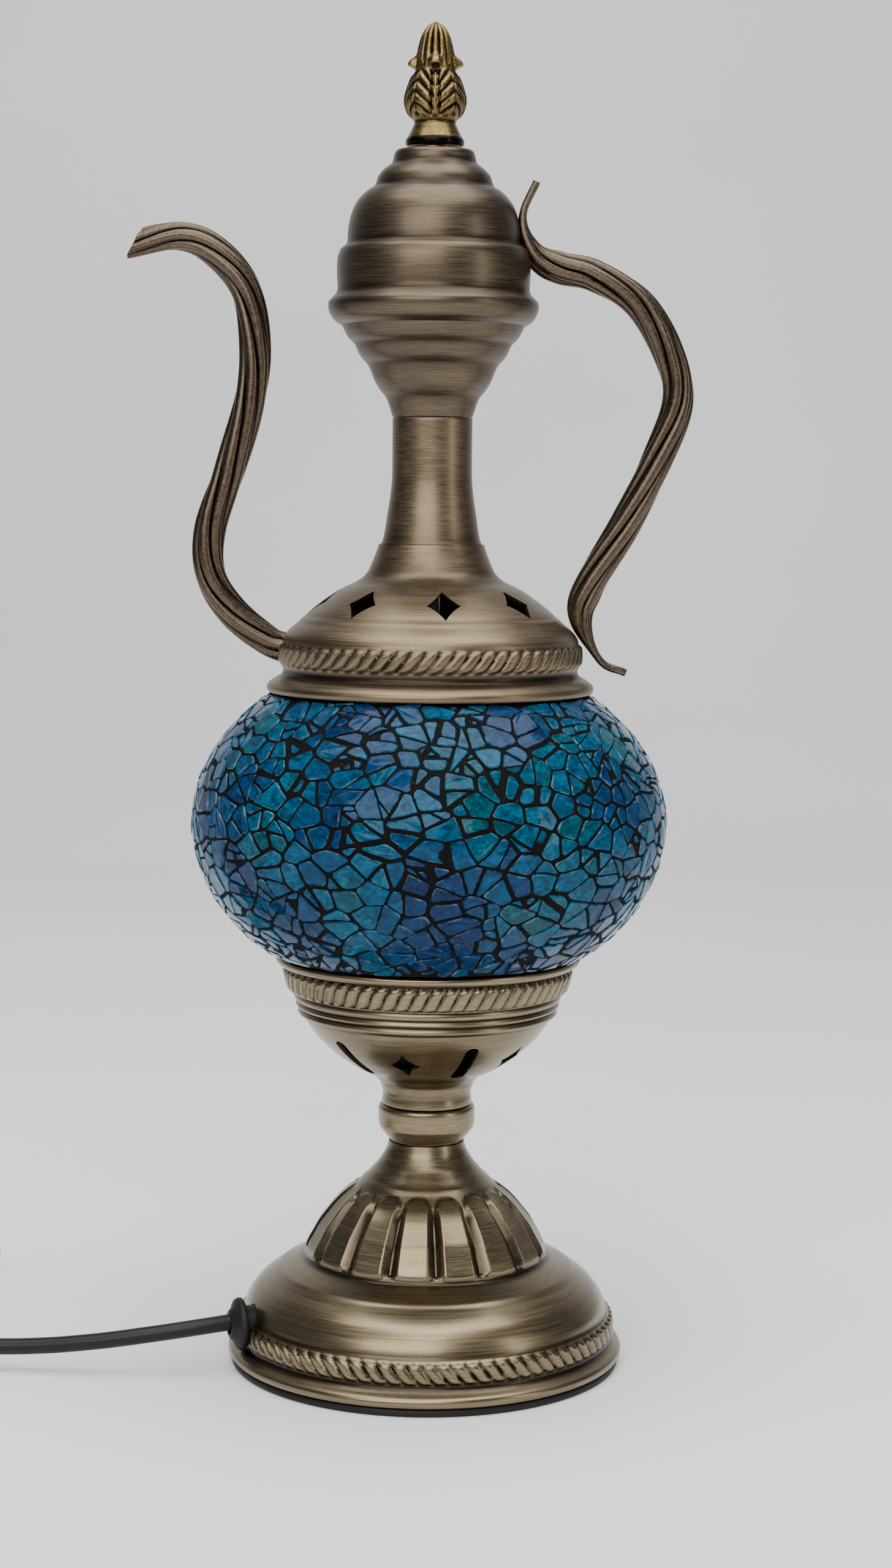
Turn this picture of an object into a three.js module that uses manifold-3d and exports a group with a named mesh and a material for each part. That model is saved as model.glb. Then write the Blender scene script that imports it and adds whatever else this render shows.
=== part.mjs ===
// Mosaic glass table lamp in antique brass, with a ewer's spout and handle. Millimetres, +Z up.
// The origin is the centre of the base pad's underside, on the lamp's axis. The spout points to -X,
// the handle to +X, and -Y is the front. Every sub-part is one closed solid in its own mesh.
import * as THREE from 'three';
import { mergeVertices } from 'three/addons/utils/BufferGeometryUtils.js';
import Module from 'manifold-3d';

const wasm = await Module();
wasm.setup();

// ---- driving dimensions -------------------------------------------------------------------------
const clearance = 0.3;          // between pieces that touch or pass through each other
const padThickness = 2.5;
const baseRadius = 67.2;        // outside of the rolled rim
const baseHeight = 75.5;        // top of the stem cone
const shellWall = 1.2;          // spun brass sheet
const knobHeight = 12.8;
const knobRadius = 16.3;
const cupHeight = 51.3;         // from the knob to the rim of the cup
const globeRadius = 80;
const globeHalfHeight = 59;     // of the whole flattened sphere, mouths ignored
const globeMouthRadius = 52.5;  // the cup and the dome take their rims from it
const glassWall = 2.4;
const mosaicThickness = 3;      // grout and shards
const domeHeight = 48.8;
const neckLength = 41.9;
const neckRadius = 13.3;
const funnelHeight = 29.6;
const bellHeight = 57;
const bellRadius = 34.9;
const finialHeight = 40;
const finialThreadDepth = 11;
const pipeRadius = 5;           // M10 x 1 lamp pipe
const pipeBore = 3.8;
const rodRadius = 3;            // M6 stud that carries the top
const cordRadius = 2.75;
const grommetRadius = 8.8;
const grommetBore = 5.4;
const grommetWall = 0.6;        // round the bore, through the base wall
const grommetFoot = 7.7;        // of its flange's lower edge above the ground
const grommetAngle = 198;       // degrees round the base, from +X
const bulbRadius = 22.5;        // golf ball bulb, E14 cap
const bulbLength = 78;
const capRadius = 6.9;
const harpHalfWidth = 31;
const harpWire = 1.6;
const tubeRadius = 5.2;         // twisted tube of the spout and of the handle
const tubeBore = 4;
const switchLength = 60;
const switchWidth = 24;
const switchHeight = 17;
const plugWidth = 35;
const plugThickness = 14;
const plugLength = 36;
const pinRadius = 2;
const pinSpacing = 18.6;
const pinLength = 19;
const coilMeanRadius = 30;
const coilSection = 17;         // width and height of the wound turns

const roundSteps = 24;          // facets round a large shell
const smallSteps = 16;          // facets round a small turned piece

// ---- finishes -----------------------------------------------------------------------------------
const finishes = {
  bronze: { color: 0x8b7d6b, roughness: 0.35, metalness: 0.9 },
  brass: { color: 0xb59a5b, roughness: 0.3, metalness: 0.9 },
  steel: { color: 0xa8a8a6, roughness: 0.4, metalness: 0.9 },
  iron: { color: 0x3a3a3c, roughness: 0.7, metalness: 0.6 },
  rubber: { color: 0x161616, roughness: 0.8, metalness: 0 },
  blackPlastic: { color: 0x1a1a1b, roughness: 0.45, metalness: 0 },
  glass: { color: 0xdfe8ea, roughness: 0.1, metalness: 0 },
  mosaic: { color: 0x12648f, roughness: 0.25, metalness: 0 },
};

const lamp = new THREE.Group();

// ---- helpers ------------------------------------------------------------------------------------
function toSolid(geometry) {
  const bare = geometry.clone();
  bare.deleteAttribute('normal');
  bare.deleteAttribute('uv');
  const merged = mergeVertices(bare, 1e-4);
  return new wasm.Manifold(new wasm.Mesh({
    numProp: 3,
    vertProperties: new Float32Array(merged.attributes.position.array),
    triVerts: new Uint32Array(merged.index.array),
  }));
}

function toGeometry(solid) {
  const mesh = solid.getMesh();
  const geometry = new THREE.BufferGeometry();
  geometry.setAttribute('position', new THREE.BufferAttribute(new Float32Array(mesh.vertProperties), 3));
  geometry.setIndex(new THREE.BufferAttribute(new Uint32Array(mesh.triVerts), 1));
  geometry.computeVertexNormals();
  return geometry;
}

function cut(geometry, ...tools) {
  return toGeometry(tools.reduce((solid, tool) => solid.subtract(toSolid(tool)), toSolid(geometry)));
}

function join(geometry, ...others) {
  return toGeometry(others.reduce((solid, other) => solid.add(toSolid(other)), toSolid(geometry)));
}

function addPiece(name, geometry, finish) {
  const mesh = new THREE.Mesh(geometry, new THREE.MeshStandardMaterial(finishes[finish]));
  mesh.name = name;
  lamp.add(mesh);
  return mesh;
}

// Turns a closed outline of [radius, height] pairs about the Z axis. An outline that goes
// anticlockwise with the radius to the right gives faces that point out.
function turned(outline, steps = smallSteps) {
  const points = outline.map(([radius, height]) => new THREE.Vector2(radius, height));
  const closesOnAxis = outline[0][0] === 0 && outline[outline.length - 1][0] === 0;
  if (!closesOnAxis) {
    points.push(points[0].clone());
  }
  const geometry = new THREE.LatheGeometry(points, steps);
  geometry.rotateX(Math.PI / 2);
  return geometry;
}

// The same line moved to its left by the wall, corner by corner, so a shell keeps its thickness.
function offsetLine(line, wall) {
  return line.map(([radius, height], index) => {
    const [beforeR, beforeZ] = line[Math.max(index - 1, 0)];
    const [afterR, afterZ] = line[Math.min(index + 1, line.length - 1)];
    const length = Math.hypot(afterR - beforeR, afterZ - beforeZ);
    return [radius - wall * (afterZ - beforeZ) / length, height + wall * (afterR - beforeR) / length];
  });
}

// A spun shell: its outer line from the bottom up, and the inner line that the wall gives.
function spunShell(line) {
  return turned([...line, ...offsetLine(line, shellWall).reverse()], roundSteps);
}

// The solid that a line of revolution encloses, larger all round by the clearance.
function envelope(line) {
  const grown = offsetLine(line, -clearance);
  return turned([[0, grown[0][1]], ...grown, [0, grown[grown.length - 1][1]]], roundSteps);
}

function disc(radius, low, high, steps = smallSteps) {
  return turned([[0, low], [radius, low], [radius, high], [0, high]], steps);
}

function ring(inner, outer, low, high, steps = smallSteps) {
  return turned([[inner, low], [outer, low], [outer, high], [inner, high]], steps);
}

function hexNut(acrossFlats, bore, low, high) {
  const blank = new THREE.CylinderGeometry(1, 1, high - low, 6);
  blank.scale(acrossFlats / Math.sqrt(3), 1, acrossFlats / Math.sqrt(3));
  blank.rotateX(Math.PI / 2);
  blank.translate(0, 0, (low + high) / 2);
  return cut(blank, disc(bore, low - 1, high + 1));
}

function box(lengthX, widthY, low, high, x = 0, y = 0) {
  const geometry = new THREE.BoxGeometry(lengthX, widthY, high - low);
  geometry.translate(x, y, (low + high) / 2);
  return geometry;
}

function circleShape(radius, sides) {
  const shape = new THREE.Shape();
  for (let side = 0; side < sides; side += 1) {
    const angle = (side / sides) * 2 * Math.PI;
    const point = [radius * Math.cos(angle), radius * Math.sin(angle)];
    if (side === 0) {
      shape.moveTo(...point);
    } else {
      shape.lineTo(...point);
    }
  }
  shape.closePath();
  return shape;
}

function smoothPath(points) {
  return new THREE.CatmullRomCurve3(points.map((point) => new THREE.Vector3(...point)), false, 'centripetal');
}

function sweep(shape, path, steps) {
  return new THREE.ExtrudeGeometry(shape, { steps, bevelEnabled: false, extrudePath: path });
}

function cordTube(points, steps) {
  return sweep(circleShape(cordRadius, 8), smoothPath(points), steps);
}

// ---- levels up the lamp -------------------------------------------------------------------------
const baseBottom = padThickness + clearance;
const knobBottom = baseHeight + clearance;
const knobTop = knobBottom + knobHeight;
const cupBottom = knobTop + clearance;
const cupTop = cupBottom + cupHeight;
const globeMouthRise = globeHalfHeight * Math.sqrt(1 - (globeMouthRadius / globeRadius) ** 2);
const globeCentre = cupTop + globeMouthRise - 0.22;     // the mouth sits just inside the cup's rim
const domeBottom = globeCentre + globeMouthRise - 0.12;
const cupRimRadius = globeMouthRadius - 0.9;
const domeRimRadius = globeMouthRadius + 2.1;
const domeTop = domeBottom + domeHeight;
const neckBottom = domeTop + clearance;
const neckTop = neckBottom + neckLength;
const funnelBottom = neckTop + clearance;
const funnelTop = funnelBottom + funnelHeight;
const bellBottom = funnelTop + clearance;
const bellTop = bellBottom + bellHeight;
const finialWasherTop = bellTop + clearance + 0.8;
const finialBottom = finialWasherTop + clearance;
const pipeHole = pipeRadius + clearance;
const rodHole = rodRadius + 0.5;
const baseWallRadius = baseRadius - 3.4;                // outside of the wall the cable goes through
const grommetNeck = grommetBore + grommetWall;
const grommetHeight = grommetFoot + grommetRadius;      // of its centre

// ---- base ---------------------------------------------------------------------------------------
function buildBase() {
  addPiece('base_pad', disc(baseRadius - 1, 0, padThickness, roundSteps), 'rubber');

  const rim = baseRadius;
  const line = [
    [rim - 1.6, baseBottom], [rim, baseBottom + 1.8], [rim - 0.8, baseBottom + 3.6],
    [rim - 4, baseBottom + 5.2], [rim - 3.4, baseBottom + 7], [rim - 3.6, baseBottom + 13.6],
    [rim - 5.6, baseBottom + 16], [rim - 8.2, baseBottom + 21.6], [rim - 12, baseBottom + 25.6],
    [rim - 17.4, baseBottom + 29.6], [rim - 22, baseBottom + 32.2], [rim - 25.8, baseBottom + 33.6],
    [rim - 28.8, baseBottom + 40], [rim - 33.9, baseBottom + 48.1], [rim - 42, baseBottom + 56],
    [20.2, baseHeight - 11.7], [15.6, baseHeight - 6.2], [12.9, baseHeight - shellWall],
    [12.7, baseHeight],
  ];
  const inner = offsetLine(line, shellWall).slice(0, -2);
  inner.push([11.6, baseHeight - shellWall], [pipeHole, baseHeight - shellWall]);
  const shell = turned([...line, [pipeHole, baseHeight], ...inner.reverse()], roundSteps);
  addPiece('base_shell', cut(shell, grommetCylinder(grommetNeck + clearance, baseWallRadius - 14, baseWallRadius + 11)), 'bronze');

  const ballast = ring(20, baseRadius - 15, baseBottom, baseBottom + 9, roundSteps);
  addPiece('ballast_ring', ballast, 'iron');

  const washerTop = baseHeight - 17;
  addPiece('base_washer', ring(pipeHole, 17, washerTop - 2, washerTop), 'steel');
  addPiece('base_nut', hexNut(17, pipeHole, washerTop - 7 - clearance, washerTop - 2 - clearance), 'steel');
}

// A cylinder along the cable's way through the base wall, between two distances from the axis.
function grommetCylinder(radius, from, to) {
  const geometry = new THREE.CylinderGeometry(radius, radius, to - from, smallSteps);
  geometry.rotateZ(-Math.PI / 2);
  geometry.translate((from + to) / 2, 0, 0);
  geometry.rotateZ(THREE.MathUtils.degToRad(grommetAngle));
  geometry.translate(0, 0, grommetHeight);
  return geometry;
}

function buildGrommet() {
  const wall = baseWallRadius;
  const outerFlange = grommetCylinder(grommetRadius, wall + clearance, wall + 2.6);
  const waist = grommetCylinder(grommetNeck, wall - 8.4, wall + 1);
  const innerFlange = grommetCylinder(grommetNeck + 1, wall - 9.6, wall - 8);
  const bore = grommetCylinder(grommetBore, wall - 12, wall + 6);
  addPiece('cable_grommet', cut(join(outerFlange, waist, innerFlange), bore), 'rubber');
}

// ---- stem and cup -------------------------------------------------------------------------------
const pipeBottom = baseHeight - 27;
const pipeTop = cupBottom + 12.5;

function buildStem() {
  addPiece('lamp_pipe', ring(pipeBore, pipeRadius, pipeBottom, pipeTop, 16), 'steel');
  const knob = [
    [pipeHole, knobBottom], [12.4, knobBottom], [knobRadius - 1.6, knobBottom + 3.4],
    [knobRadius, knobBottom + 5.6], [knobRadius, knobTop - 1.4], [knobRadius - 0.6, knobTop],
    [pipeHole, knobTop],
  ];
  addPiece('stem_knob', turned(knob, roundSteps), 'bronze');
}

// The outer line of the cup, from its floor to its rim.
function cupLine() {
  const rim = cupRimRadius;
  return [
    [15.4, cupBottom], [15, cupBottom + 2], [16.4, cupBottom + 7], [18.4, cupBottom + 9],
    [25.4, cupBottom + 13], [31.3, cupBottom + 17.2], [rim - 15.9, cupBottom + 21.4],
    [rim - 8.6, cupBottom + 30.6], [rim - 6.6, cupBottom + 36], [rim - 2.9, cupTop - 6.7],
    [rim - 2.4, cupTop - 4], [rim, cupTop - 1.8], [rim - 0.4, cupTop],
  ];
}

// A four-pointed star cutter, longer up the shell than across it, placed on a bearing and a slope.
function starCutter(reachUp, reachAcross, waist, bearing, distance, height, slope) {
  const star = new THREE.Shape();
  for (let corner = 0; corner < 8; corner += 1) {
    const radius = corner % 2 === 1 ? waist : corner % 4 === 0 ? reachUp : reachAcross;
    const angle = (corner / 8) * 2 * Math.PI;
    const point = [radius * Math.cos(angle), radius * Math.sin(angle)];
    if (corner === 0) {
      star.moveTo(...point);
    } else {
      star.lineTo(...point);
    }
  }
  star.closePath();
  return placeCutter(star, bearing, distance, height, slope);
}

function slotCutter(width, length, bearing, distance, height, slope) {
  const slot = new THREE.Shape();
  const half = (length - width) / 2;
  slot.absarc(half, 0, width / 2, -Math.PI / 2, Math.PI / 2, false);
  slot.absarc(-half, 0, width / 2, Math.PI / 2, 3 * Math.PI / 2, false);
  return placeCutter(slot, bearing, distance, height, slope);
}

// The shape's X axis runs along the meridian. Slope tips the cut from level (0) to upright (90).
function placeCutter(shape, bearing, distance, height, slope) {
  const depth = 16;
  const cutter = new THREE.ExtrudeGeometry(shape, { depth, bevelEnabled: false, curveSegments: 3 });
  cutter.translate(0, 0, -depth / 2);
  cutter.rotateY(THREE.MathUtils.degToRad(90 - slope));
  cutter.translate(distance, 0, height);
  cutter.rotateZ(THREE.MathUtils.degToRad(bearing));
  return cutter;
}

function buildCup() {
  const line = cupLine();
  const inner = offsetLine(line, shellWall).slice(2);
  inner.unshift([14, cupBottom + 3], [14, cupBottom + shellWall], [pipeHole, cupBottom + shellWall]);
  inner.splice(0, 3, inner[2], inner[1], inner[0]);
  const shell = turned([[pipeHole, cupBottom], ...line, ...inner.reverse()], roundSteps);
  const vents = [];
  for (let vent = 0; vent < 5; vent += 1) {
    const bearing = vent * 72 - 90;
    vents.push(starCutter(6.8, 4.4, 2.2, bearing - 12.5, 32, cupBottom + 18.6, -44));
    vents.push(slotCutter(5, 19, bearing + 23.5, 32, cupBottom + 18.6, -44));
  }
  addPiece('cup_shell', cut(shell, ...vents), 'bronze');

  const washerBottom = cupBottom + shellWall + clearance;
  addPiece('cup_washer', ring(pipeHole, 11.5, washerBottom, washerBottom + 1.2), 'steel');
  const nutBottom = washerBottom + 1.2 + clearance;
  addPiece('cup_nut', hexNut(14, pipeHole, nutBottom, nutBottom + 3), 'steel');
}

// ---- lampholder and bulb ------------------------------------------------------------------------
const saddleBottom = cupBottom + shellWall + 4.2 + 3 * clearance;
const saddleTop = saddleBottom + 3.5;
const holderBottom = saddleTop + clearance;
const insertBottom = holderBottom + 12;
const insertTop = insertBottom + 10;
const bulbBottom = insertTop + 3.6;
const bulbTop = bulbBottom + bulbLength;
const shellTop = insertBottom + 36;
const holderRadius = 14;

function buildLampholder() {
  const wall = 1.8;
  const cap = [
    [pipeHole, holderBottom], [holderRadius - 2, holderBottom], [holderRadius, holderBottom + 2],
    [holderRadius, insertBottom - clearance], [holderRadius - wall, insertBottom - clearance],
    [holderRadius - wall, holderBottom + 3], [pipeHole, holderBottom + 3],
  ];
  addPiece('holder_cap', turned(cap), 'blackPlastic');

  const sleeve = ring(holderRadius - wall, holderRadius, insertBottom, shellTop);
  addPiece('holder_sleeve', sleeve, 'blackPlastic');

  const insert = disc(holderRadius - wall - clearance, insertBottom, insertTop);
  const wireHoles = [-5, 5].map((x) => {
    const hole = disc(1.4, insertBottom - 1, insertTop + 1, 8);
    hole.translate(x, -4, 0);
    return hole;
  });
  addPiece('holder_insert', cut(insert, ...wireHoles), 'blackPlastic');

  const threadInner = capRadius + 0.4;
  const thread = ring(threadInner, threadInner + 0.8, insertTop + clearance, shellTop - 4);
  addPiece('holder_thread', thread, 'brass');
  addPiece('holder_contact', disc(2.2, insertTop + clearance, bulbBottom - clearance, 12), 'brass');
}

function buildBulb() {
  const tipTop = bulbBottom + 2;
  addPiece('bulb_tip', disc(2.4, bulbBottom, tipTop, 12), 'brass');

  const capTop = bulbBottom + 24;
  const bulbCap = [
    [0, tipTop + clearance], [4, tipTop + clearance], [capRadius, tipTop + 4],
    [capRadius, capTop], [0, capTop],
  ];
  addPiece('bulb_cap', turned(bulbCap), 'brass');

  const centre = bulbTop - bulbRadius;
  const glass = [];
  const glassInside = [];
  const wall = 1;
  const neckAngle = Math.asin(capRadius / bulbRadius);
  for (let step = 0; step <= 8; step += 1) {
    const angle = neckAngle + (step / 8) * (Math.PI - neckAngle);
    glass.push([bulbRadius * Math.sin(angle), centre - bulbRadius * Math.cos(angle)]);
    glassInside.push([(bulbRadius - wall) * Math.sin(angle), centre - (bulbRadius - wall) * Math.cos(angle)]);
  }
  glass[8][0] = 0;
  glassInside[8][0] = 0;
  const neckBase = capTop + clearance;
  const profile = [
    ...glassInside.reverse(), [capRadius - wall, neckBase], [capRadius, neckBase], ...glass,
  ];
  addPiece('bulb_glass', turned(profile, 20), 'glass');
}

// ---- harp and stud ------------------------------------------------------------------------------
const bossBottom = bulbTop + 24;
const bossTop = bossBottom + 5;

function buildHarp() {
  const side = (sign) => [
    [sign * 9.5, 0, saddleBottom + 0.2], [sign * 12, 0, saddleBottom + 0.9],
    [sign * 14.4, 0, saddleBottom + 3.1], [sign * 17.2, 0, saddleBottom + 6.2],
    [sign * 20, 0, saddleBottom + 9.7], [sign * 26, 0, saddleBottom + 19],
    [sign * harpHalfWidth, 0, saddleBottom + 34],
    [sign * harpHalfWidth, 0, bulbTop - 8], [sign * (harpHalfWidth - 4), 0, bossBottom - 9],
    [sign * (harpHalfWidth - 14), 0, bossBottom],
  ];
  const path = smoothPath([...side(-1), [0, 0, bossBottom + 2.5], ...side(1).reverse()]);
  const bow = sweep(circleShape(harpWire, 6), path, 32);
  const saddle = disc(11, saddleBottom, saddleTop);
  const boss = disc(6, bossBottom, bossTop, 12);
  const saddleHole = disc(pipeHole, saddleBottom - 2, saddleTop + 2);
  const bossHole = disc(rodHole, bossBottom - 3, bossTop + 3);
  addPiece('harp', cut(join(bow, saddle, boss), saddleHole, bossHole), 'steel');

  addPiece('stud_rod', disc(rodRadius, bossBottom - 1, finialBottom + finialThreadDepth - 1.5, 12), 'steel');
  const nutBottom = bossTop + clearance;
  addPiece('stud_nut', hexNut(10, rodHole, nutBottom, nutBottom + 4), 'steel');
}

// ---- globe --------------------------------------------------------------------------------------
// The line of a flattened sphere, smaller by the inset, from its lower mouth to its upper mouth.
function globeLine(inset) {
  const wide = globeRadius - inset;
  const tall = globeHalfHeight - inset;
  const limit = Math.acos(globeMouthRadius / globeRadius);
  const line = [];
  const steps = 8;
  for (let step = 0; step <= steps; step += 1) {
    const angle = -limit + (step / steps) * 2 * limit;
    line.push([wide * Math.cos(angle), globeCentre + tall * Math.sin(angle)]);
  }
  return line;
}

function buildGlobe() {
  const glassInset = mosaicThickness + clearance;
  const mosaic = [...globeLine(0), ...globeLine(mosaicThickness).reverse()];
  addPiece('mosaic_skin', turned(mosaic, roundSteps), 'mosaic');
  const glass = [...globeLine(glassInset), ...globeLine(glassInset + glassWall).reverse()];
  addPiece('globe_glass', turned(glass, roundSteps), 'glass');
}

// ---- top: dome, neck, funnel and bell -----------------------------------------------------------
function domeLine() {
  const rim = domeRimRadius;
  return [
    [rim - 0.3, domeBottom], [rim, domeBottom + 1.8], [rim - 2.4, domeBottom + 4.4],
    [rim - 5, domeBottom + 6.4], [rim - 4.6, domeBottom + 8.8], [rim - 5, domeBottom + 17.8],
    [rim - 7.8, domeBottom + 19.6], [rim - 14, domeBottom + 25.8], [33.9, domeBottom + 31.8],
    [24.8, domeBottom + 37], [20.6, domeBottom + 41], [18.2, domeTop - 0.8], [17.4, domeTop],
  ];
}

function bellLine() {
  const rim = bellRadius;
  return [
    [rim - 4.4, bellBottom], [rim - 0.6, bellBottom + 3.4], [rim, bellBottom + 6],
    [rim - 3, bellBottom + 10], [rim - 2.9, bellBottom + 22], [rim - 6, bellBottom + 26.4],
    [rim - 6.6, bellBottom + 32], [25.6, bellBottom + 40.2], [19.4, bellBottom + 45.2],
    [17.6, bellBottom + 49.4], [13.8, bellBottom + 52.6], [13.2, bellTop - 1], [11.8, bellTop],
  ];
}

function buildTop() {
  const dome = domeLine();
  const domeInner = offsetLine(dome, shellWall).slice(0, -2);
  domeInner.push([16.6, domeTop - shellWall], [rodHole, domeTop - shellWall]);
  const domeShell = turned([...dome, [rodHole, domeTop], ...domeInner.reverse()], roundSteps);
  const vents = [];
  for (let vent = 0; vent < 8; vent += 1) {
    vents.push(starCutter(6.4, 4.4, 2.4, vent * 45 - 83, 36, domeBottom + 30.2, 47));
  }
  addPiece('top_dome', cut(domeShell, ...vents), 'bronze');

  const neck = [
    [16.8, neckBottom], [15.6, neckBottom + 5], [14.2, neckBottom + 13],
    [neckRadius, neckBottom + 20], [neckRadius, neckTop],
  ];
  addPiece('neck_tube', spunShell(neck), 'bronze');

  const funnel = [
    [neckRadius, funnelBottom], [14.8, funnelBottom + 4], [19.8, funnelBottom + 12],
    [21.4, funnelBottom + 17], [25.6, funnelBottom + 23], [28.6, funnelBottom + 26.2],
    [30, funnelTop],
  ];
  addPiece('funnel_shell', spunShell(funnel), 'bronze');

  const bell = bellLine();
  const bellInner = offsetLine(bell, shellWall).slice(0, -2);
  bellInner.push([12, bellTop - shellWall], [rodHole, bellTop - shellWall]);
  addPiece('bell_shell', turned([...bell, [rodHole, bellTop], ...bellInner.reverse()], roundSteps), 'bronze');
}

function buildFinial() {
  const washer = ring(rodHole, 8, bellTop + clearance, finialWasherTop, 16);
  addPiece('finial_washer', washer, 'brass');
  const z = finialBottom;
  const outline = [
    [rodHole, z], [9.4, z], [9.8, z + 1.2], [6.8, z + 7], [9.8, z + 13], [9.5, z + 17], [6.9, z + 23],
    [8.5, z + 26.4], [6.3, z + 29], [5.2, z + 34], [3.2, z + 37.8], [0, z + finialHeight],
    [0, z + finialThreadDepth], [rodHole, z + finialThreadDepth],
  ];
  const closed = turned([...outline.slice(11), ...outline.slice(0, 12)], smallSteps);
  addPiece('finial', closed, 'brass');
}

// ---- spout and handle, both in the X-Z plane ----------------------------------------------------
function buildSpout() {
  const bellLevel = bellBottom;
  const foot = -domeRimRadius;
  const points = [
    [-102, 0, bellLevel + 25.5], [-84, 0, bellLevel + 28.5], [-72, 0, bellLevel + 23.5],
    [-62, 0, bellLevel + 11], [-59, 0, bellLevel - 8], [-61, 0, bellLevel - 26],
    [foot - 12.9, 0, neckTop - 18], [foot - 19.4, 0, neckTop - 38], [foot - 18.9, 0, domeTop - 11],
    [foot - 11.4, 0, domeTop - 23], [foot, 0, domeTop - 32.2], [foot + 5.5, 0, domeTop - 34.6],
  ];
  const path = smoothPath(points);
  const tube = sweep(circleShape(tubeRadius, 8), path, 34);
  const mouth = smoothPath([[-106, 0, bellLevel + 24], ...points.slice(0, 3)]);
  addPiece('spout', cut(tube, sweep(circleShape(tubeBore, 8), mouth, 8), envelope(domeLine())), 'bronze');
}

function buildHandle() {
  const foot = domeRimRadius;
  const points = [
    [bellRadius - 1.3, 0, bellTop - 10], [bellRadius - 5.5, 0, bellTop - 19.6],
    [bellRadius - 4.9, 0, bellTop - 27.5], [bellRadius - 0.3, 0, bellBottom + 22.5],
    [bellRadius + 7.1, 0, bellBottom + 19.2], [bellRadius + 18.1, 0, bellBottom + 16.9],
    [bellRadius + 33, 0, bellBottom + 8], [bellRadius + 43, 0, bellBottom - 8],
    [bellRadius + 46.5, 0, bellBottom - 24], [bellRadius + 40, 0, neckTop - 13],
    [foot + 10.3, 0, neckTop - 34], [foot - 1.7, 0, domeTop - 13], [foot - 4.3, 0, domeTop - 24.5],
    [foot + 2.3, 0, domeTop - 38], [foot + 10.8, 0, domeTop - 42],
  ];
  const tube = sweep(circleShape(tubeRadius - 0.2, 8), smoothPath(points.slice(4, 13)), 28);
  const strip = new THREE.Shape();
  strip.moveTo(-5, -1.5);
  strip.lineTo(5, -1.5);
  strip.lineTo(5, 1.5);
  strip.lineTo(-5, 1.5);
  strip.closePath();
  const upper = sweep(strip, smoothPath(points.slice(0, 6)), 12);
  const lower = sweep(strip, smoothPath(points.slice(11)), 10);
  const whole = join(tube, upper, lower);
  addPiece('handle', cut(whole, envelope(bellLine()), envelope(domeLine())), 'bronze');
}

// ---- mains cord, switch and plug ----------------------------------------------------------------
const exitBearing = THREE.MathUtils.degToRad(grommetAngle);
const exitDistance = baseWallRadius + 2.6 + clearance;
const cordExit = [
  exitDistance * Math.cos(exitBearing), exitDistance * Math.sin(exitBearing), grommetHeight + 1,
];
const switchStart = -184;
const switchEnd = switchStart - switchLength;
const switchY = -19;
const switchCordHeight = 8.6;
const coilCentre = [-256, 42];
const plugStart = [-238, 90.5, 7.2];

// The tie's loop round the coil's turns, on the coil's +X side. Grown, it is the groove that the
// tie presses into the turns.
const tieWall = 0.9;
const tieWidth = 8;

function tieLoop(grown) {
  const x = coilCentre[0] + coilMeanRadius;
  const y = coilCentre[1];
  const inside = coilSection + 2 * (clearance - grown);
  const outside = coilSection + 2 * (clearance + tieWall + grown);
  const top = coilSection + clearance;
  const outer = box(outside, tieWidth + 2 * grown, -grown, top + tieWall + grown, x, y);
  return cut(outer, box(inside, tieWidth + 4, tieWall + grown, top - grown, x, y));
}

function buildCord() {
  const insideStart = exitDistance - clearance * 2;
  const inner = [
    [insideStart * Math.cos(exitBearing), insideStart * Math.sin(exitBearing), grommetHeight + 1],
    [-48, -15.6, grommetHeight + 0.6], [-28, -9.2, grommetHeight + 1], [-11, -3.6, 24],
    [-2, -0.6, 36], [0, 0, pipeBottom], [0, 0, pipeTop - 20], [0, 0, pipeTop + 2],
  ];
  addPiece('cord_inner', cordTube(inner, 22), 'rubber');

  const lead = [
    cordExit, [-76, -23.6, 16.2], [-92, -25, 14], [-112, -24.2, 11], [-132, -22.2, 8.8],
    [-150, -20.4, 8.1], [-168, -19.2, 8.4], [switchStart + clearance, switchY, switchCordHeight],
  ];
  addPiece('cord_lead', cordTube(lead, 14), 'rubber');

  const link = [
    [switchEnd - clearance, switchY, switchCordHeight], [-254, -18.8, 7.4], [-265, -16.4, 5.2],
    [-274.5, -10.4, 3.6], [-280.5, -2, 3], [-284, 7.5, 3], [-284.8, 10.5, 3],
  ];
  addPiece('cord_link', cordTube(link, 14), 'rubber');

  const half = coilSection / 2;
  const chamfer = 3;
  const coil = turned([
    [coilMeanRadius - half, chamfer], [coilMeanRadius - half + chamfer, 0],
    [coilMeanRadius + half - chamfer, 0], [coilMeanRadius + half, chamfer],
    [coilMeanRadius + half, coilSection - chamfer], [coilMeanRadius + half - chamfer, coilSection],
    [coilMeanRadius - half + chamfer, coilSection], [coilMeanRadius - half, coilSection - chamfer],
  ], roundSteps);
  coil.translate(coilCentre[0], coilCentre[1], 0);
  addPiece('cord_coil', cut(coil, tieLoop(clearance)), 'rubber');
  addPiece('cord_tie', tieLoop(0), 'rubber');

  const tail = [
    [-259, 83.6, 11], [-253, 85.8, 9.6], [-247.5, 88.6, 8], [-243, 90.3, 7.3], [-240.5, 90.5, 7.2],
    [plugStart[0] - clearance, plugStart[1], plugStart[2]],
  ];
  addPiece('cord_tail', cordTube(tail, 5), 'rubber');
}

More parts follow.
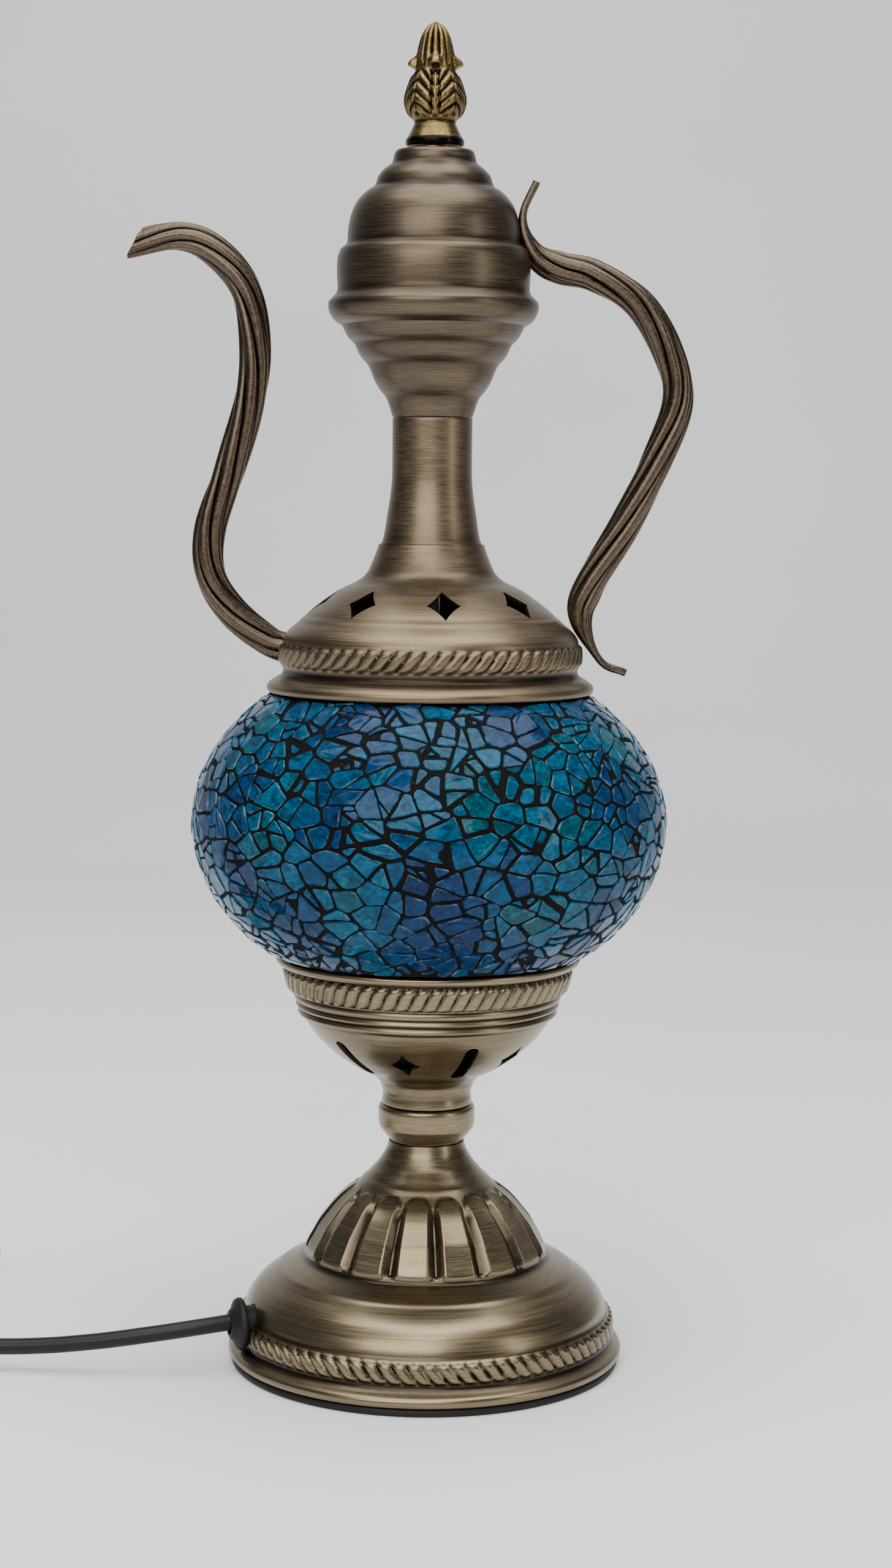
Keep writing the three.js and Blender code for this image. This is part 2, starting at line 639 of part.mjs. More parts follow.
function buildSwitch() {
  const split = switchCordHeight;
  const wall = 2;
  const middle = (switchStart + switchEnd) / 2;
  const cavityLength = switchLength - 2 * wall;
  const cavityWidth = switchWidth - 2 * wall;
  const cordWay = new THREE.CylinderGeometry(cordRadius + clearance, cordRadius + clearance, 200, 12);
  cordWay.rotateZ(Math.PI / 2);
  cordWay.translate(middle, switchY, split);

  const lowerBlank = box(switchLength, switchWidth, 0, split - clearance / 2, middle, switchY);
  const lowerCavity = box(cavityLength, cavityWidth, wall, split + 5, middle, switchY);
  addPiece('switch_base', cut(lowerBlank, lowerCavity, cordWay), 'blackPlastic');

  const rockerLength = 20;
  const rockerWidth = 10;
  const upperBlank = box(switchLength, switchWidth, split + clearance / 2, switchHeight, middle, switchY);
  const upperCavity = box(cavityLength, cavityWidth, split - 5, switchHeight - wall, middle, switchY);
  const window = box(rockerLength + 1.6, rockerWidth + 1, split, switchHeight + 5, middle, switchY);
  addPiece('switch_cover', cut(upperBlank, upperCavity, window, cordWay), 'blackPlastic');

  const pivotHeight = switchHeight - 3.4;
  const tilt = THREE.MathUtils.degToRad(8);
  const profile = new THREE.Shape();
  profile.moveTo(-rockerLength / 2, 1.2);
  profile.lineTo(-rockerLength / 2 + 1.4, -1.6);
  profile.lineTo(-3, -3.4);
  profile.lineTo(3, -3.4);
  profile.lineTo(rockerLength / 2 - 1.4, -1.6);
  profile.lineTo(rockerLength / 2, 1.2);
  profile.lineTo(rockerLength / 2 - 0.4, 4.4);
  profile.lineTo(0, 3.2);
  profile.lineTo(-rockerLength / 2 + 0.4, 4.4);
  profile.closePath();
  const hole = new THREE.Path();
  hole.absarc(0, 0, 1.15, 0, 2 * Math.PI, true);
  profile.holes.push(hole);
  const rocker = new THREE.ExtrudeGeometry(profile, {
    depth: rockerWidth, bevelEnabled: false, curveSegments: 8,
  });
  rocker.translate(0, 0, -rockerWidth / 2);
  rocker.rotateX(Math.PI / 2);
  const rockerMesh = addPiece('switch_rocker', rocker, 'blackPlastic');
  rockerMesh.position.set(middle, switchY, pivotHeight);
  rockerMesh.rotation.y = -tilt;

  const pin = new THREE.CylinderGeometry(0.85, 0.85, switchWidth - 2 * wall - 1, 12);
  pin.translate(middle, switchY, 0);
  const pinMesh = addPiece('rocker_pin', pin, 'steel');
  pinMesh.position.z = pivotHeight;

  for (const side of [-1, 1]) {
    const name = side < 0 ? 'switch_contact_out' : 'switch_contact_in';
    addPiece(name, box(9, 6, wall + clearance, wall + 2.2, middle + side * 9, switchY), 'brass');
  }
}

function buildPlug() {
  const reliefLength = 22;
  const [startX, y, z] = plugStart;
  const relief = new THREE.CylinderGeometry(6, 3.9, reliefLength, 16);
  relief.rotateZ(-Math.PI / 2);
  relief.translate(startX + reliefLength / 2, y, z);

  const outline = new THREE.Shape();
  const halfWidth = plugWidth / 2;
  outline.moveTo(0, -7.5);
  outline.lineTo(plugLength - 12, -halfWidth);
  outline.lineTo(plugLength, -halfWidth);
  outline.lineTo(plugLength, halfWidth);
  outline.lineTo(plugLength - 12, halfWidth);
  outline.lineTo(0, 7.5);
  outline.closePath();
  const body = new THREE.ExtrudeGeometry(outline, { depth: plugThickness, bevelEnabled: false });
  const bodyStart = startX + reliefLength - 1;
  body.translate(bodyStart, y, z - plugThickness / 2);

  const front = bodyStart + plugLength;
  const pinY = (sign) => y + (sign * pinSpacing) / 2;
  const sockets = [-1, 1].map((sign) => plugPin(pinRadius + clearance, front - 8, front + 2, pinY(sign), z));
  const cordSocket = plugPin(1.5, startX - 2, startX + 4, y, z);
  addPiece('plug_body', cut(join(relief, body), cordSocket, ...sockets), 'rubber');
  addPiece('plug_pin_near', plugPin(pinRadius, front - 8 + clearance, front + pinLength, pinY(-1), z), 'brass');
  addPiece('plug_pin_far', plugPin(pinRadius, front - 8 + clearance, front + pinLength, pinY(1), z), 'brass');
}

function plugPin(radius, from, to, y, z) {
  const pin = new THREE.CylinderGeometry(radius, radius, to - from, 12);
  pin.rotateZ(Math.PI / 2);
  pin.translate((from + to) / 2, y, z);
  return pin;
}

buildBase();
buildGrommet();
buildStem();
buildCup();
buildLampholder();
buildBulb();
buildHarp();
buildGlobe();
buildTop();
buildFinial();
buildSpout();
buildHandle();
buildCord();
buildSwitch();
buildPlug();

export default lamp;
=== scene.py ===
# Mosaic glass table lamp in antique brass, shaped like a ewer. Everything is in metres.
import math
import random

import bmesh
import bpy
import numpy as np
from mathutils import Matrix, Vector, noise


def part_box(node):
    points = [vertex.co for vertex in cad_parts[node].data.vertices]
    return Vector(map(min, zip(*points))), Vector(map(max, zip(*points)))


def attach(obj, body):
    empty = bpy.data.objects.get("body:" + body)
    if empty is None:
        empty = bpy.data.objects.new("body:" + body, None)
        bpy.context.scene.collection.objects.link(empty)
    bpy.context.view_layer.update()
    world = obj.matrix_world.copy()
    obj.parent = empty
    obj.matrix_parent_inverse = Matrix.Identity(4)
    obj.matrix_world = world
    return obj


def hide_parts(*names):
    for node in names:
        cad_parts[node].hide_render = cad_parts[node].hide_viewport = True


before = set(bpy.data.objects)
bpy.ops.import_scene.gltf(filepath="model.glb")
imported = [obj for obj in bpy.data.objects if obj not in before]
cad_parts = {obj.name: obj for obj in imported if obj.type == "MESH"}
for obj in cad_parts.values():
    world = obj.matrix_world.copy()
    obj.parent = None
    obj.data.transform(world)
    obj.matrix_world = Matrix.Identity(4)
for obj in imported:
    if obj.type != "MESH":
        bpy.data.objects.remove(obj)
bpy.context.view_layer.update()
mm = 0.001


# ---- small helpers ----

def linearColour(hexColour, alpha=1.0):
    channels = [int(hexColour[i:i + 2], 16) / 255 for i in (1, 3, 5)]
    linear = [c / 12.92 if c <= 0.04045 else ((c + 0.055) / 1.055) ** 2.4 for c in channels]
    return (*linear, alpha)


def addNode(tree, kind, inputs=None, **settings):
    node = tree.nodes.new(kind)
    for name, value in settings.items():
        setattr(node, name, value)
    for socket, value in (inputs or {}).items():
        if isinstance(value, bpy.types.NodeSocket):
            tree.links.new(value, node.inputs[socket])
        else:
            node.inputs[socket].default_value = value
    return node


def newMaterial(name):
    material = bpy.data.materials.new(name)
    material.use_nodes = True
    tree = material.node_tree
    shader = tree.nodes["Principled BSDF"]
    return material, tree, shader


def setSockets(shader, values):
    for socket, value in values.items():
        shader.inputs[socket].default_value = value


def link(tree, output, node, socket):
    tree.links.new(output, node.inputs[socket])


def rampColours(node, stops):
    elements = node.color_ramp.elements
    while len(elements) < len(stops):
        elements.new(0.5)
    for element, (place, colour) in zip(elements, stops):
        element.position = place
        element.color = linearColour(colour)


def smoothStep(value, low, high):
    t = np.clip((value - low) / (high - low), 0, 1)
    return t * t * (3 - 2 * t)


def makePiece(name, verts, faces, material, smooth=True, attributes=None):
    mesh = bpy.data.meshes.new(name)
    mesh.from_pydata([tuple(v) for v in verts], [], [tuple(f) for f in faces])
    for label, values in (attributes or {}).items():
        layer = mesh.attributes.new(label, "FLOAT", "POINT")
        layer.data.foreach_set("value", np.asarray(values, dtype=np.float32))
    mesh.polygons.foreach_set("use_smooth", [smooth] * len(mesh.polygons))
    mesh.update()
    mesh.materials.append(material)
    piece = bpy.data.objects.new(name, mesh)
    bpy.context.collection.objects.link(piece)
    return piece


def place(piece, body, node=None, slot=None):
    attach(piece, body)
    if node:
        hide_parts(*([node] if isinstance(node, str) else node))
    return piece


def bottomOf(node):
    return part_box(node)[0][2] / mm


def fineLine(stretches, step=0.7, soften=1):
    # Curves run through each stretch's points, and stretches meet in a crease.
    line = []
    for stretch in stretches:
        points = [np.array(p, dtype=float) for p in stretch]
        ends = [2 * points[0] - points[1]] + points + [2 * points[-1] - points[-2]]
        for i in range(1, len(ends) - 2):
            a, b, c, d = ends[i - 1:i + 3]
            count = max(1, int(np.linalg.norm(c - b) / step))
            for k in range(count):
                t = k / count
                line.append(0.5 * (2 * b + (c - a) * t + (2 * a - 5 * b + 4 * c - d) * t ** 2
                                   + (3 * b - a - 3 * c + d) * t ** 3))
    line.append(np.array(stretches[-1][-1], dtype=float))
    line = np.array(line)
    for _ in range(soften):
        line[1:-1] = 0.25 * line[:-2] + 0.5 * line[1:-1] + 0.25 * line[2:]
    return line


def insideLine(line, wall, keep=5):
    coarse = np.vstack([line[::keep], line[-1:]])
    direction = np.gradient(coarse, axis=0)
    direction /= np.linalg.norm(direction, axis=1)[:, None]
    return np.column_stack([coarse[:, 0] - wall * direction[:, 1], coarse[:, 1] + wall * direction[:, 0]])


def revolve(name, line, segments, material, relief=None, closed=True, floor=0.0, hollow=None):
    # The line is [radius, height] in millimetres. relief(angle, row) gives how far a point stands
    # out along the line's own normal, and hollow(angle, row) how deep it lies in a recess, 0 to 1.
    count = len(line)
    direction = np.gradient(line, axis=0)
    direction /= np.maximum(np.linalg.norm(direction, axis=1), 1e-9)[:, None]
    angles = np.arange(segments) * 2 * np.pi / segments
    angleGrid, rowGrid = np.meshgrid(angles, np.arange(count))
    out = np.zeros((count, segments)) if relief is None else relief(angleGrid, rowGrid)
    radius = line[:, 0][:, None] + out * direction[:, 1][:, None]
    height = line[:, 1][:, None] - out * direction[:, 0][:, None] + floor
    radius = np.maximum(radius, 0)
    verts = np.stack([radius * np.cos(angleGrid), radius * np.sin(angleGrid), height], axis=-1)
    verts = verts.reshape(-1, 3) * mm
    rows = range(count) if closed else range(count - 1)
    faces = []
    for i in rows:
        below, above = i * segments, ((i + 1) % count) * segments
        for j in range(segments):
            k = (j + 1) % segments
            faces.append((below + j, below + k, above + k, above + j))
    depth = np.zeros(count * segments) if hollow is None else hollow(angleGrid, rowGrid).reshape(-1)
    return makePiece(name, verts, faces, material, attributes={"recess": depth})


def joinPieces(pieces, name):
    # Joins finished objects into the first one, with their attributes and materials.
    for piece in bpy.context.selected_objects:
        piece.select_set(False)
    for piece in pieces:
        piece.select_set(True)
    bpy.context.view_layer.objects.active = pieces[0]
    bpy.ops.object.join()
    pieces[0].name = name
    pieces[0].select_set(False)
    return pieces[0]


def cutWith(piece, cutters):
    # Cuts the joined cutters out of the piece and leaves a plain mesh.
    cutter = joinPieces(cutters, piece.name + "Cutter") if len(cutters) > 1 else cutters[0]
    modifier = piece.modifiers.new("vents", "BOOLEAN")
    modifier.operation = "DIFFERENCE"
    modifier.solver = "EXACT"
    modifier.object = cutter
    graph = bpy.context.evaluated_depsgraph_get()
    mesh = bpy.data.meshes.new_from_object(piece.evaluated_get(graph))
    piece.modifiers.clear()
    piece.data = mesh
    bpy.data.objects.remove(cutter)
    return piece


def sharpenEdges(piece, angle=40):
    # Creases sharper than the angle stay crisp on a smooth shaded piece.
    mesh = piece.data
    work = bmesh.new()
    work.from_mesh(mesh)
    limit = math.radians(angle)
    for edge in work.edges:
        if len(edge.link_faces) == 2 and edge.calc_face_angle(0) > limit:
            edge.smooth = False
    work.to_mesh(mesh)
    work.free()
    return piece


def smoothCurve(points, step):
    return fineLine([points], step=step, soften=0)


# ---- camera and stage ----

camera = {"lens": 64.15, "sensor": 36, "distance": 936, "height": 296, "side": 5.6, "pitch": 6.0, "roll": 0.53}
studio = {"reach": 6.0, "wallDistance": 1.9, "wallHeight": 2.6, "bend": 0.7, "halfWidth": 4.0}


def addCamera():
    data = bpy.data.cameras.new("camera")
    data.lens = camera["lens"]
    data.sensor_width = camera["sensor"]
    data.clip_start = 0.01
    lens = bpy.data.objects.new("camera", data)
    bpy.context.collection.objects.link(lens)
    turn = Matrix.Rotation(math.radians(90 - camera["pitch"]), 4, "X")
    turn = turn @ Matrix.Rotation(math.radians(camera["roll"]), 4, "Z")
    spot = Vector((camera["side"], -camera["distance"], camera["height"])) * mm
    lens.matrix_world = Matrix.Translation(spot) @ turn
    bpy.context.scene.camera = lens


def matteStage():
    # Painted board: an even pale grey with the faintest mottle.
    material, tree, shader = newMaterial("studioBoard")
    coords = addNode(tree, "ShaderNodeTexCoord")
    mottle = addNode(tree, "ShaderNodeTexNoise", {"Vector": coords.outputs["Object"], "Scale": 3.0})
    ramp = addNode(tree, "ShaderNodeValToRGB", {"Fac": mottle.outputs["Fac"]})
    rampColours(ramp, [(0.3, "#eeeeef"), (0.7, "#f5f5f6")])
    link(tree, ramp.outputs["Color"], shader, "Base Color")
    setSockets(shader, {"Roughness": 0.6, "Specular IOR Level": 0.25})
    return material


def addStage():
    wide, back, bend = studio["halfWidth"], studio["wallDistance"], studio["bend"]
    profile = [(-studio["reach"], 0.0), (back - bend, 0.0)]
    for i in range(1, 17):
        angle = math.radians(i * 90 / 16)
        profile.append((back - bend + bend * math.sin(angle), bend - bend * math.cos(angle)))
    profile.append((back, studio["wallHeight"]))
    verts = [(x, y, z) for y, z in profile for x in (-wide, wide)]
    faces = [(2 * i, 2 * i + 1, 2 * i + 3, 2 * i + 2) for i in range(len(profile) - 1)]
    floor = makePiece("studioSweep", verts, faces, matteStage())


def addSoftbox(name, spot, aim, width, height, power, colour="#ffffff"):
    data = bpy.data.lights.new(name, "AREA")
    data.shape = "RECTANGLE"
    data.size = width
    data.size_y = height
    data.energy = power
    data.color = linearColour(colour)[:3]
    box = bpy.data.objects.new(name, data)
    bpy.context.collection.objects.link(box)
    spot = Vector(spot)
    box.location = spot
    box.rotation_euler = (Vector(aim) - spot).to_track_quat("-Z", "Y").to_euler()


def addLights():
    addSoftbox("keySoftbox", (-0.38, -1.45, 0.95), (0, 0, 0.2), 1.5, 1.0, 22, "#fffdfa")
    addSoftbox("rightFill", (1.25, -0.75, 0.55), (0, 0, 0.2), 0.3, 1.0, 4, "#fffaf2")
    addSoftbox("topSoftbox", (0.05, -0.3, 1.75), (0, -0.25, 0.0), 1.9, 1.9, 52)
    addSoftbox("backdropWash", (0.0, 0.7, 1.8), (0, 1.9, 0.5), 2.4, 0.5, 4)
    world = bpy.data.worlds.new("studio")
    world.use_nodes = True
    sky = world.node_tree.nodes["Background"]
    sky.inputs["Color"].default_value = linearColour("#b4b7bb")
    sky.inputs["Strength"].default_value = 0.3
    bpy.context.scene.world = world


addCamera()
addStage()
addLights()
print("stage ready")


# ---- materials ----

def grainCoordinates(tree, spacing, stretch=2.5):
    # Runs round the lamp's axis: the pattern is long round the axis and fine up the profile.
    coords = addNode(tree, "ShaderNodeTexCoord")
    parts = addNode(tree, "ShaderNodeSeparateXYZ", {"Vector": coords.outputs["Object"]})
    flat = addNode(tree, "ShaderNodeCombineXYZ", {"X": parts.outputs["X"], "Y": parts.outputs["Y"]})
    radius = addNode(tree, "ShaderNodeVectorMath", {0: flat.outputs[0]}, operation="LENGTH")
    around = addNode(tree, "ShaderNodeVectorMath", {0: flat.outputs[0]}, operation="NORMALIZE")
    shrunk = addNode(tree, "ShaderNodeVectorMath", {0: around.outputs[0], "Scale": spacing * stretch * mm},
                     operation="SCALE")
    up = addNode(tree, "ShaderNodeCombineXYZ", {"Z": parts.outputs["Z"]})
    vector = addNode(tree, "ShaderNodeVectorMath", {0: shrunk.outputs[0], 1: up.outputs[0]}, operation="ADD")
    return vector.outputs[0], radius.outputs["Value"]


def antiqueBrass(name, look):
    # Spun brass, brushed on the lathe, darkened and lacquered: fine rings of lighter metal round the
    # axis, brown patina left in the recesses, painted shade in the same colour inside the shells, the
    # spout's bore and the finial's hollows, and a soft lacquer gloss over it.
    material, tree, shader = newMaterial(name)
    spacing = look["grain"]
    if look["turned"]:
        vector, radius = grainCoordinates(tree, spacing)
        grain = addNode(tree, "ShaderNodeTexNoise", {
            "Vector": vector, "W": radius, "Scale": 1 / (spacing * mm), "Detail": 3.0, "Roughness": 0.65,
        }, noise_dimensions="4D")
    else:
        coords = addNode(tree, "ShaderNodeTexCoord")
        grain = addNode(tree, "ShaderNodeTexNoise", {
            "Vector": coords.outputs["Object"], "Scale": 1 / (spacing * mm), "Detail": 4.0,
        })
    place3d = addNode(tree, "ShaderNodeTexCoord")
    cloud = addNode(tree, "ShaderNodeTexNoise", {
        "Vector": place3d.outputs["Object"], "Scale": 1 / (14 * mm), "Detail": 5.0, "Roughness": 0.6,
    })
    ramp = addNode(tree, "ShaderNodeValToRGB", {"Fac": grain.outputs["Fac"]})
    rampColours(ramp, [(0.28, look["deep"]), (0.5, look["body"]), (0.72, look["bright"])])
    clouded = addNode(tree, "ShaderNodeMix", {
        "Factor": addNode(tree, "ShaderNodeMapRange", {
            "Value": cloud.outputs["Fac"], "From Min": 0.35, "From Max": 0.7, "To Min": 0.0, "To Max": 0.35,
        }).outputs[0],
        6: ramp.outputs["Color"], 7: linearColour(look["deep"]),
    }, data_type="RGBA")
    recess = addNode(tree, "ShaderNodeAttribute", attribute_name="recess")
    # The mix toward the dark recess colour is patina in the hollows and painted shade inside the shells, the spout's
    # bore and the finial's hollows.
    patinaAndShade = addNode(tree, "ShaderNodeMix", {
        "Factor": recess.outputs["Fac"], 6: clouded.outputs[2], 7: linearColour(look["patinaAndShade"]),
    }, data_type="RGBA")
    link(tree, patinaAndShade.outputs[2], shader, "Base Color")
    gloss = addNode(tree, "ShaderNodeMapRange", {
        "Value": grain.outputs["Fac"], "From Min": 0.3, "From Max": 0.7,
        "To Min": look["roughness"] - 0.05, "To Max": look["roughness"] + 0.08,
    })
    link(tree, gloss.outputs[0], shader, "Roughness")
    bump = addNode(tree, "ShaderNodeBump", {
        "Height": grain.outputs["Fac"], "Strength": look["bump"], "Distance": 0.04 * mm,
    })
    link(tree, bump.outputs["Normal"], shader, "Normal")
    setSockets(shader, {"Metallic": 1.0, "Anisotropic": look["anisotropy"], "Coat Weight": look["lacquer"],
                        "Coat Roughness": 0.12})
    if look["turned"]:
        around = addNode(tree, "ShaderNodeTangent", direction_type="RADIAL", axis="Z")
        link(tree, around.outputs["Tangent"], shader, "Tangent")
    return material


brassLooks = {
    # The upper shells are satin and darker, the middle ones warmer and painted lighter for the broad
    # highlight on the neck and dome, and the lower ones glossier.
    "upper": {"deep": "#483f35", "body": "#5c5143", "bright": "#716453", "patinaAndShade": "#221b15", "grain": 0.34,
              "roughness": 0.37, "bump": 0.14, "anisotropy": 0.3, "lacquer": 0.08, "turned": True},
    "lower": {"deep": "#665a46", "body": "#80735a", "bright": "#998b6e", "patinaAndShade": "#17120c", "grain": 0.36,
              "roughness": 0.29, "bump": 0.16, "anisotropy": 0.35, "lacquer": 0.2, "turned": True},
    # A lighter copy of the upper brass: painted highlight for the neck and dome.
    "middle": {"deep": "#5e5242", "body": "#766854", "bright": "#8c7d65", "patinaAndShade": "#221b15", "grain": 0.34,
               "roughness": 0.37, "bump": 0.14, "anisotropy": 0.3, "lacquer": 0.08, "turned": True},
    "tube": {"deep": "#463b30", "body": "#584c3e", "bright": "#685b4a", "patinaAndShade": "#0f0b08", "grain": 0.9,
             "roughness": 0.33, "bump": 0.08, "anisotropy": 0.0, "lacquer": 0.12, "turned": False},
    "cast": {"deep": "#52432a", "body": "#7a673c", "bright": "#a08b55", "patinaAndShade": "#140d08", "grain": 0.8,
             "roughness": 0.32, "bump": 0.25, "anisotropy": 0.0, "lacquer": 0.1, "turned": False},
}
brass = {key: antiqueBrass(key + "AntiqueBrass", look) for key, look in brassLooks.items()}


def crackleGlass():
    # Coloured crackle glass, fire cooled and broken by hand: blue to teal, a web of fine inner
    # cracks, pale edges painted on as a highlight of the light caught in the cut edges, and a wet gloss on a slightly
    # rippled face.
    material, tree, shader = newMaterial("crackleGlass")
    coords = addNode(tree, "ShaderNodeTexCoord")
    shade = addNode(tree, "ShaderNodeAttribute", attribute_name="shade")
    rim = addNode(tree, "ShaderNodeAttribute", attribute_name="rim")
    ramp = addNode(tree, "ShaderNodeValToRGB", {"Fac": shade.outputs["Fac"]})
    rampColours(ramp, [(0.0, "#011a40"), (0.25, "#022c50"), (0.5, "#033a58"), (0.72, "#04475f"),
                       (0.9, "#063e46"), (1.0, "#104862")])
    stretchMap = addNode(tree, "ShaderNodeMapping", {"Vector": coords.outputs["Object"],
                                                     "Scale": (1.0, 1.0, 1.5)})
    mottle = addNode(tree, "ShaderNodeTexNoise", {
        "Vector": stretchMap.outputs[0], "Scale": 1 / (4 * mm), "Detail": 4.0, "Distortion": 1.2,
    })
    depth = addNode(tree, "ShaderNodeMapRange", {
        "Value": mottle.outputs["Fac"], "From Min": 0.3, "From Max": 0.7, "To Min": 0.4, "To Max": 1.7,
    })
    deep = addNode(tree, "ShaderNodeMix", {
        "Factor": 1.0, 6: ramp.outputs["Color"], 7: depth.outputs[0],
    }, data_type="RGBA", blend_type="MULTIPLY")
    warp = addNode(tree, "ShaderNodeTexNoise", {"Vector": coords.outputs["Object"], "Scale": 1 / (6 * mm)})
    bent = addNode(tree, "ShaderNodeMix", {
        "Factor": 0.006, 4: coords.outputs["Object"], 5: warp.outputs["Color"],
    }, data_type="VECTOR")
    crack = addNode(tree, "ShaderNodeTexVoronoi", {
        "Vector": bent.outputs[1], "Scale": 1 / (3.4 * mm),
    }, feature="DISTANCE_TO_EDGE")
    line = addNode(tree, "ShaderNodeMapRange", {
        "Value": crack.outputs["Distance"], "From Min": 0.0, "From Max": 0.07, "To Min": 0.55, "To Max": 0.0,
    })
    cracked = addNode(tree, "ShaderNodeMix", {
        "Factor": line.outputs[0], 6: deep.outputs[2], 7: linearColour("#052a4a"),
    }, data_type="RGBA")
    # Painted highlight: the shards' edges are painted pale, broken up by this noise, for the light caught in their cut
    # edges.
    edgeGlintNoise = addNode(tree, "ShaderNodeTexNoise", {
        "Vector": coords.outputs["Object"], "Scale": 1 / (3.5 * mm), "Detail": 3.0,
    })
    edgeGlintSpread = addNode(tree, "ShaderNodeMapRange", {
        "Value": edgeGlintNoise.outputs["Fac"], "From Min": 0.5, "From Max": 0.72, "To Min": 0.02, "To Max": 0.55,
    })
    paintedEdgeGlint = addNode(tree, "ShaderNodeMath", {
        0: addNode(tree, "ShaderNodeMath", {0: rim.outputs["Fac"], 1: 4.0}, operation="POWER").outputs[0],
        1: edgeGlintSpread.outputs[0],
    }, operation="MULTIPLY")
    edged = addNode(tree, "ShaderNodeMix", {
        "Factor": paintedEdgeGlint.outputs[0], 6: cracked.outputs[2], 7: linearColour("#7fa9b8"),
    }, data_type="RGBA")
    link(tree, edged.outputs[2], shader, "Base Color")
    ripple = addNode(tree, "ShaderNodeTexNoise", {
        "Vector": coords.outputs["Object"], "Scale": 1 / (5 * mm), "Detail": 2.0,
    })
    bump = addNode(tree, "ShaderNodeBump", {
        "Height": ripple.outputs["Fac"], "Strength": 0.35, "Distance": 0.3 * mm,
    })
    link(tree, bump.outputs["Normal"], shader, "Normal")
    setSockets(shader, {"Roughness": 0.12, "IOR": 1.45, "Specular IOR Level": 0.13, "Coat Weight": 0.1,
                        "Coat Roughness": 0.03})
    return material


def blackGrout():
    # Gritty black grout wiped between the shards: matte, sandy, with a few pale grains.
    material, tree, shader = newMaterial("blackGrout")
    coords = addNode(tree, "ShaderNodeTexCoord")
    grit = addNode(tree, "ShaderNodeTexNoise", {
        "Vector": coords.outputs["Object"], "Scale": 1 / (0.7 * mm), "Detail": 3.0,
    })
    ramp = addNode(tree, "ShaderNodeValToRGB", {"Fac": grit.outputs["Fac"]})
    rampColours(ramp, [(0.4, "#050404"), (0.66, "#0e0c0b"), (0.8, "#4a423b")])
    link(tree, ramp.outputs["Color"], shader, "Base Color")
    bump = addNode(tree, "ShaderNodeBump", {
        "Height": grit.outputs["Fac"], "Strength": 0.7, "Distance": 0.3 * mm,
    })
    link(tree, bump.outputs["Normal"], shader, "Normal")
    setSockets(shader, {"Roughness": 0.8, "Specular IOR Level": 0.12})
    return material


def plainMaterial(name, look):
    # Moulded, turned or plated stock: one colour, broken up by a fine grain that also varies the gloss.
    material, tree, shader = newMaterial(name)
    coords = addNode(tree, "ShaderNodeTexCoord")
    grain = addNode(tree, "ShaderNodeTexNoise", {
        "Vector": coords.outputs["Object"], "Scale": 1 / (look["grain"] * mm), "Detail": 3.0,
    })
    ramp = addNode(tree, "ShaderNodeValToRGB", {"Fac": grain.outputs["Fac"]})
    rampColours(ramp, [(0.3, look["dark"]), (0.7, look["light"])])
    link(tree, ramp.outputs["Color"], shader, "Base Color")
    gloss = addNode(tree, "ShaderNodeMapRange", {
        "Value": grain.outputs["Fac"], "From Min": 0.3, "From Max": 0.7,
        "To Min": look["roughness"] - 0.06, "To Max": look["roughness"] + 0.06,
    })
    link(tree, gloss.outputs[0], shader, "Roughness")
    bump = addNode(tree, "ShaderNodeBump", {
        "Height": grain.outputs["Fac"], "Strength": look["bump"], "Distance": 0.05 * mm,
    })
    link(tree, bump.outputs["Normal"], shader, "Normal")
    setSockets(shader, {"Metallic": look["metal"], "Specular IOR Level": 0.5 if look["metal"] else 0.3})
    return material


plainLooks = {
    "blackRubber": {"dark": "#0b0b0b", "light": "#161616", "roughness": 0.55, "grain": 0.8, "bump": 0.3, "metal": 0},
    "cordVinyl": {"dark": "#080808", "light": "#121212", "roughness": 0.4, "grain": 1.5, "bump": 0.1, "metal": 0},
    "mouldedBlackPlastic": {"dark": "#0d0d0e", "light": "#161617", "roughness": 0.38, "grain": 0.6, "bump": 0.25,
                            "metal": 0},
    "wovenTie": {"dark": "#0a0a0a", "light": "#1d1d1d", "roughness": 0.85, "grain": 0.4, "bump": 0.8, "metal": 0},
    "zincPlatedSteel": {"dark": "#8e8e8b", "light": "#b4b4b0", "roughness": 0.35, "grain": 1.0, "bump": 0.1,
                        "metal": 1},
    "nickelPlatedBrass": {"dark": "#a8a49a", "light": "#c9c5bb", "roughness": 0.25, "grain": 1.0, "bump": 0.05,
                          "metal": 1},
    "turnedBrass": {"dark": "#a98a4b", "light": "#c8ab66", "roughness": 0.28, "grain": 0.8, "bump": 0.1, "metal": 1},
    "castIron": {"dark": "#1b1b1c", "light": "#303032", "roughness": 0.7, "grain": 0.9, "bump": 0.8, "metal": 1},
}
plain = {key: plainMaterial(key, look) for key, look in plainLooks.items()}


def clearGlass(name, tint, roughness):
    # Blown clear glass: sees through, with faint cords that wrinkle what shows.
    material, tree, shader = newMaterial(name)
    coords = addNode(tree, "ShaderNodeTexCoord")
    cords = addNode(tree, "ShaderNodeTexNoise", {
        "Vector": coords.outputs["Object"], "Scale": 1 / (12 * mm), "Detail": 2.0,
    })
    bump = addNode(tree, "ShaderNodeBump", {
        "Height": cords.outputs["Fac"], "Strength": 0.2, "Distance": 0.2 * mm,
    })
    link(tree, bump.outputs["Normal"], shader, "Normal")
    setSockets(shader, {"Base Color": linearColour(tint), "Transmission Weight": 1.0, "Roughness": roughness,
                        "IOR": 1.5})
    return material


glass = {"globe": clearGlass("blownGlobeGlass", "#dcebf0", 0.02), "bulb": clearGlass("bulbGlass", "#f4f6f4", 0.05)}
print("materials ready")


# ---- mains cord ----

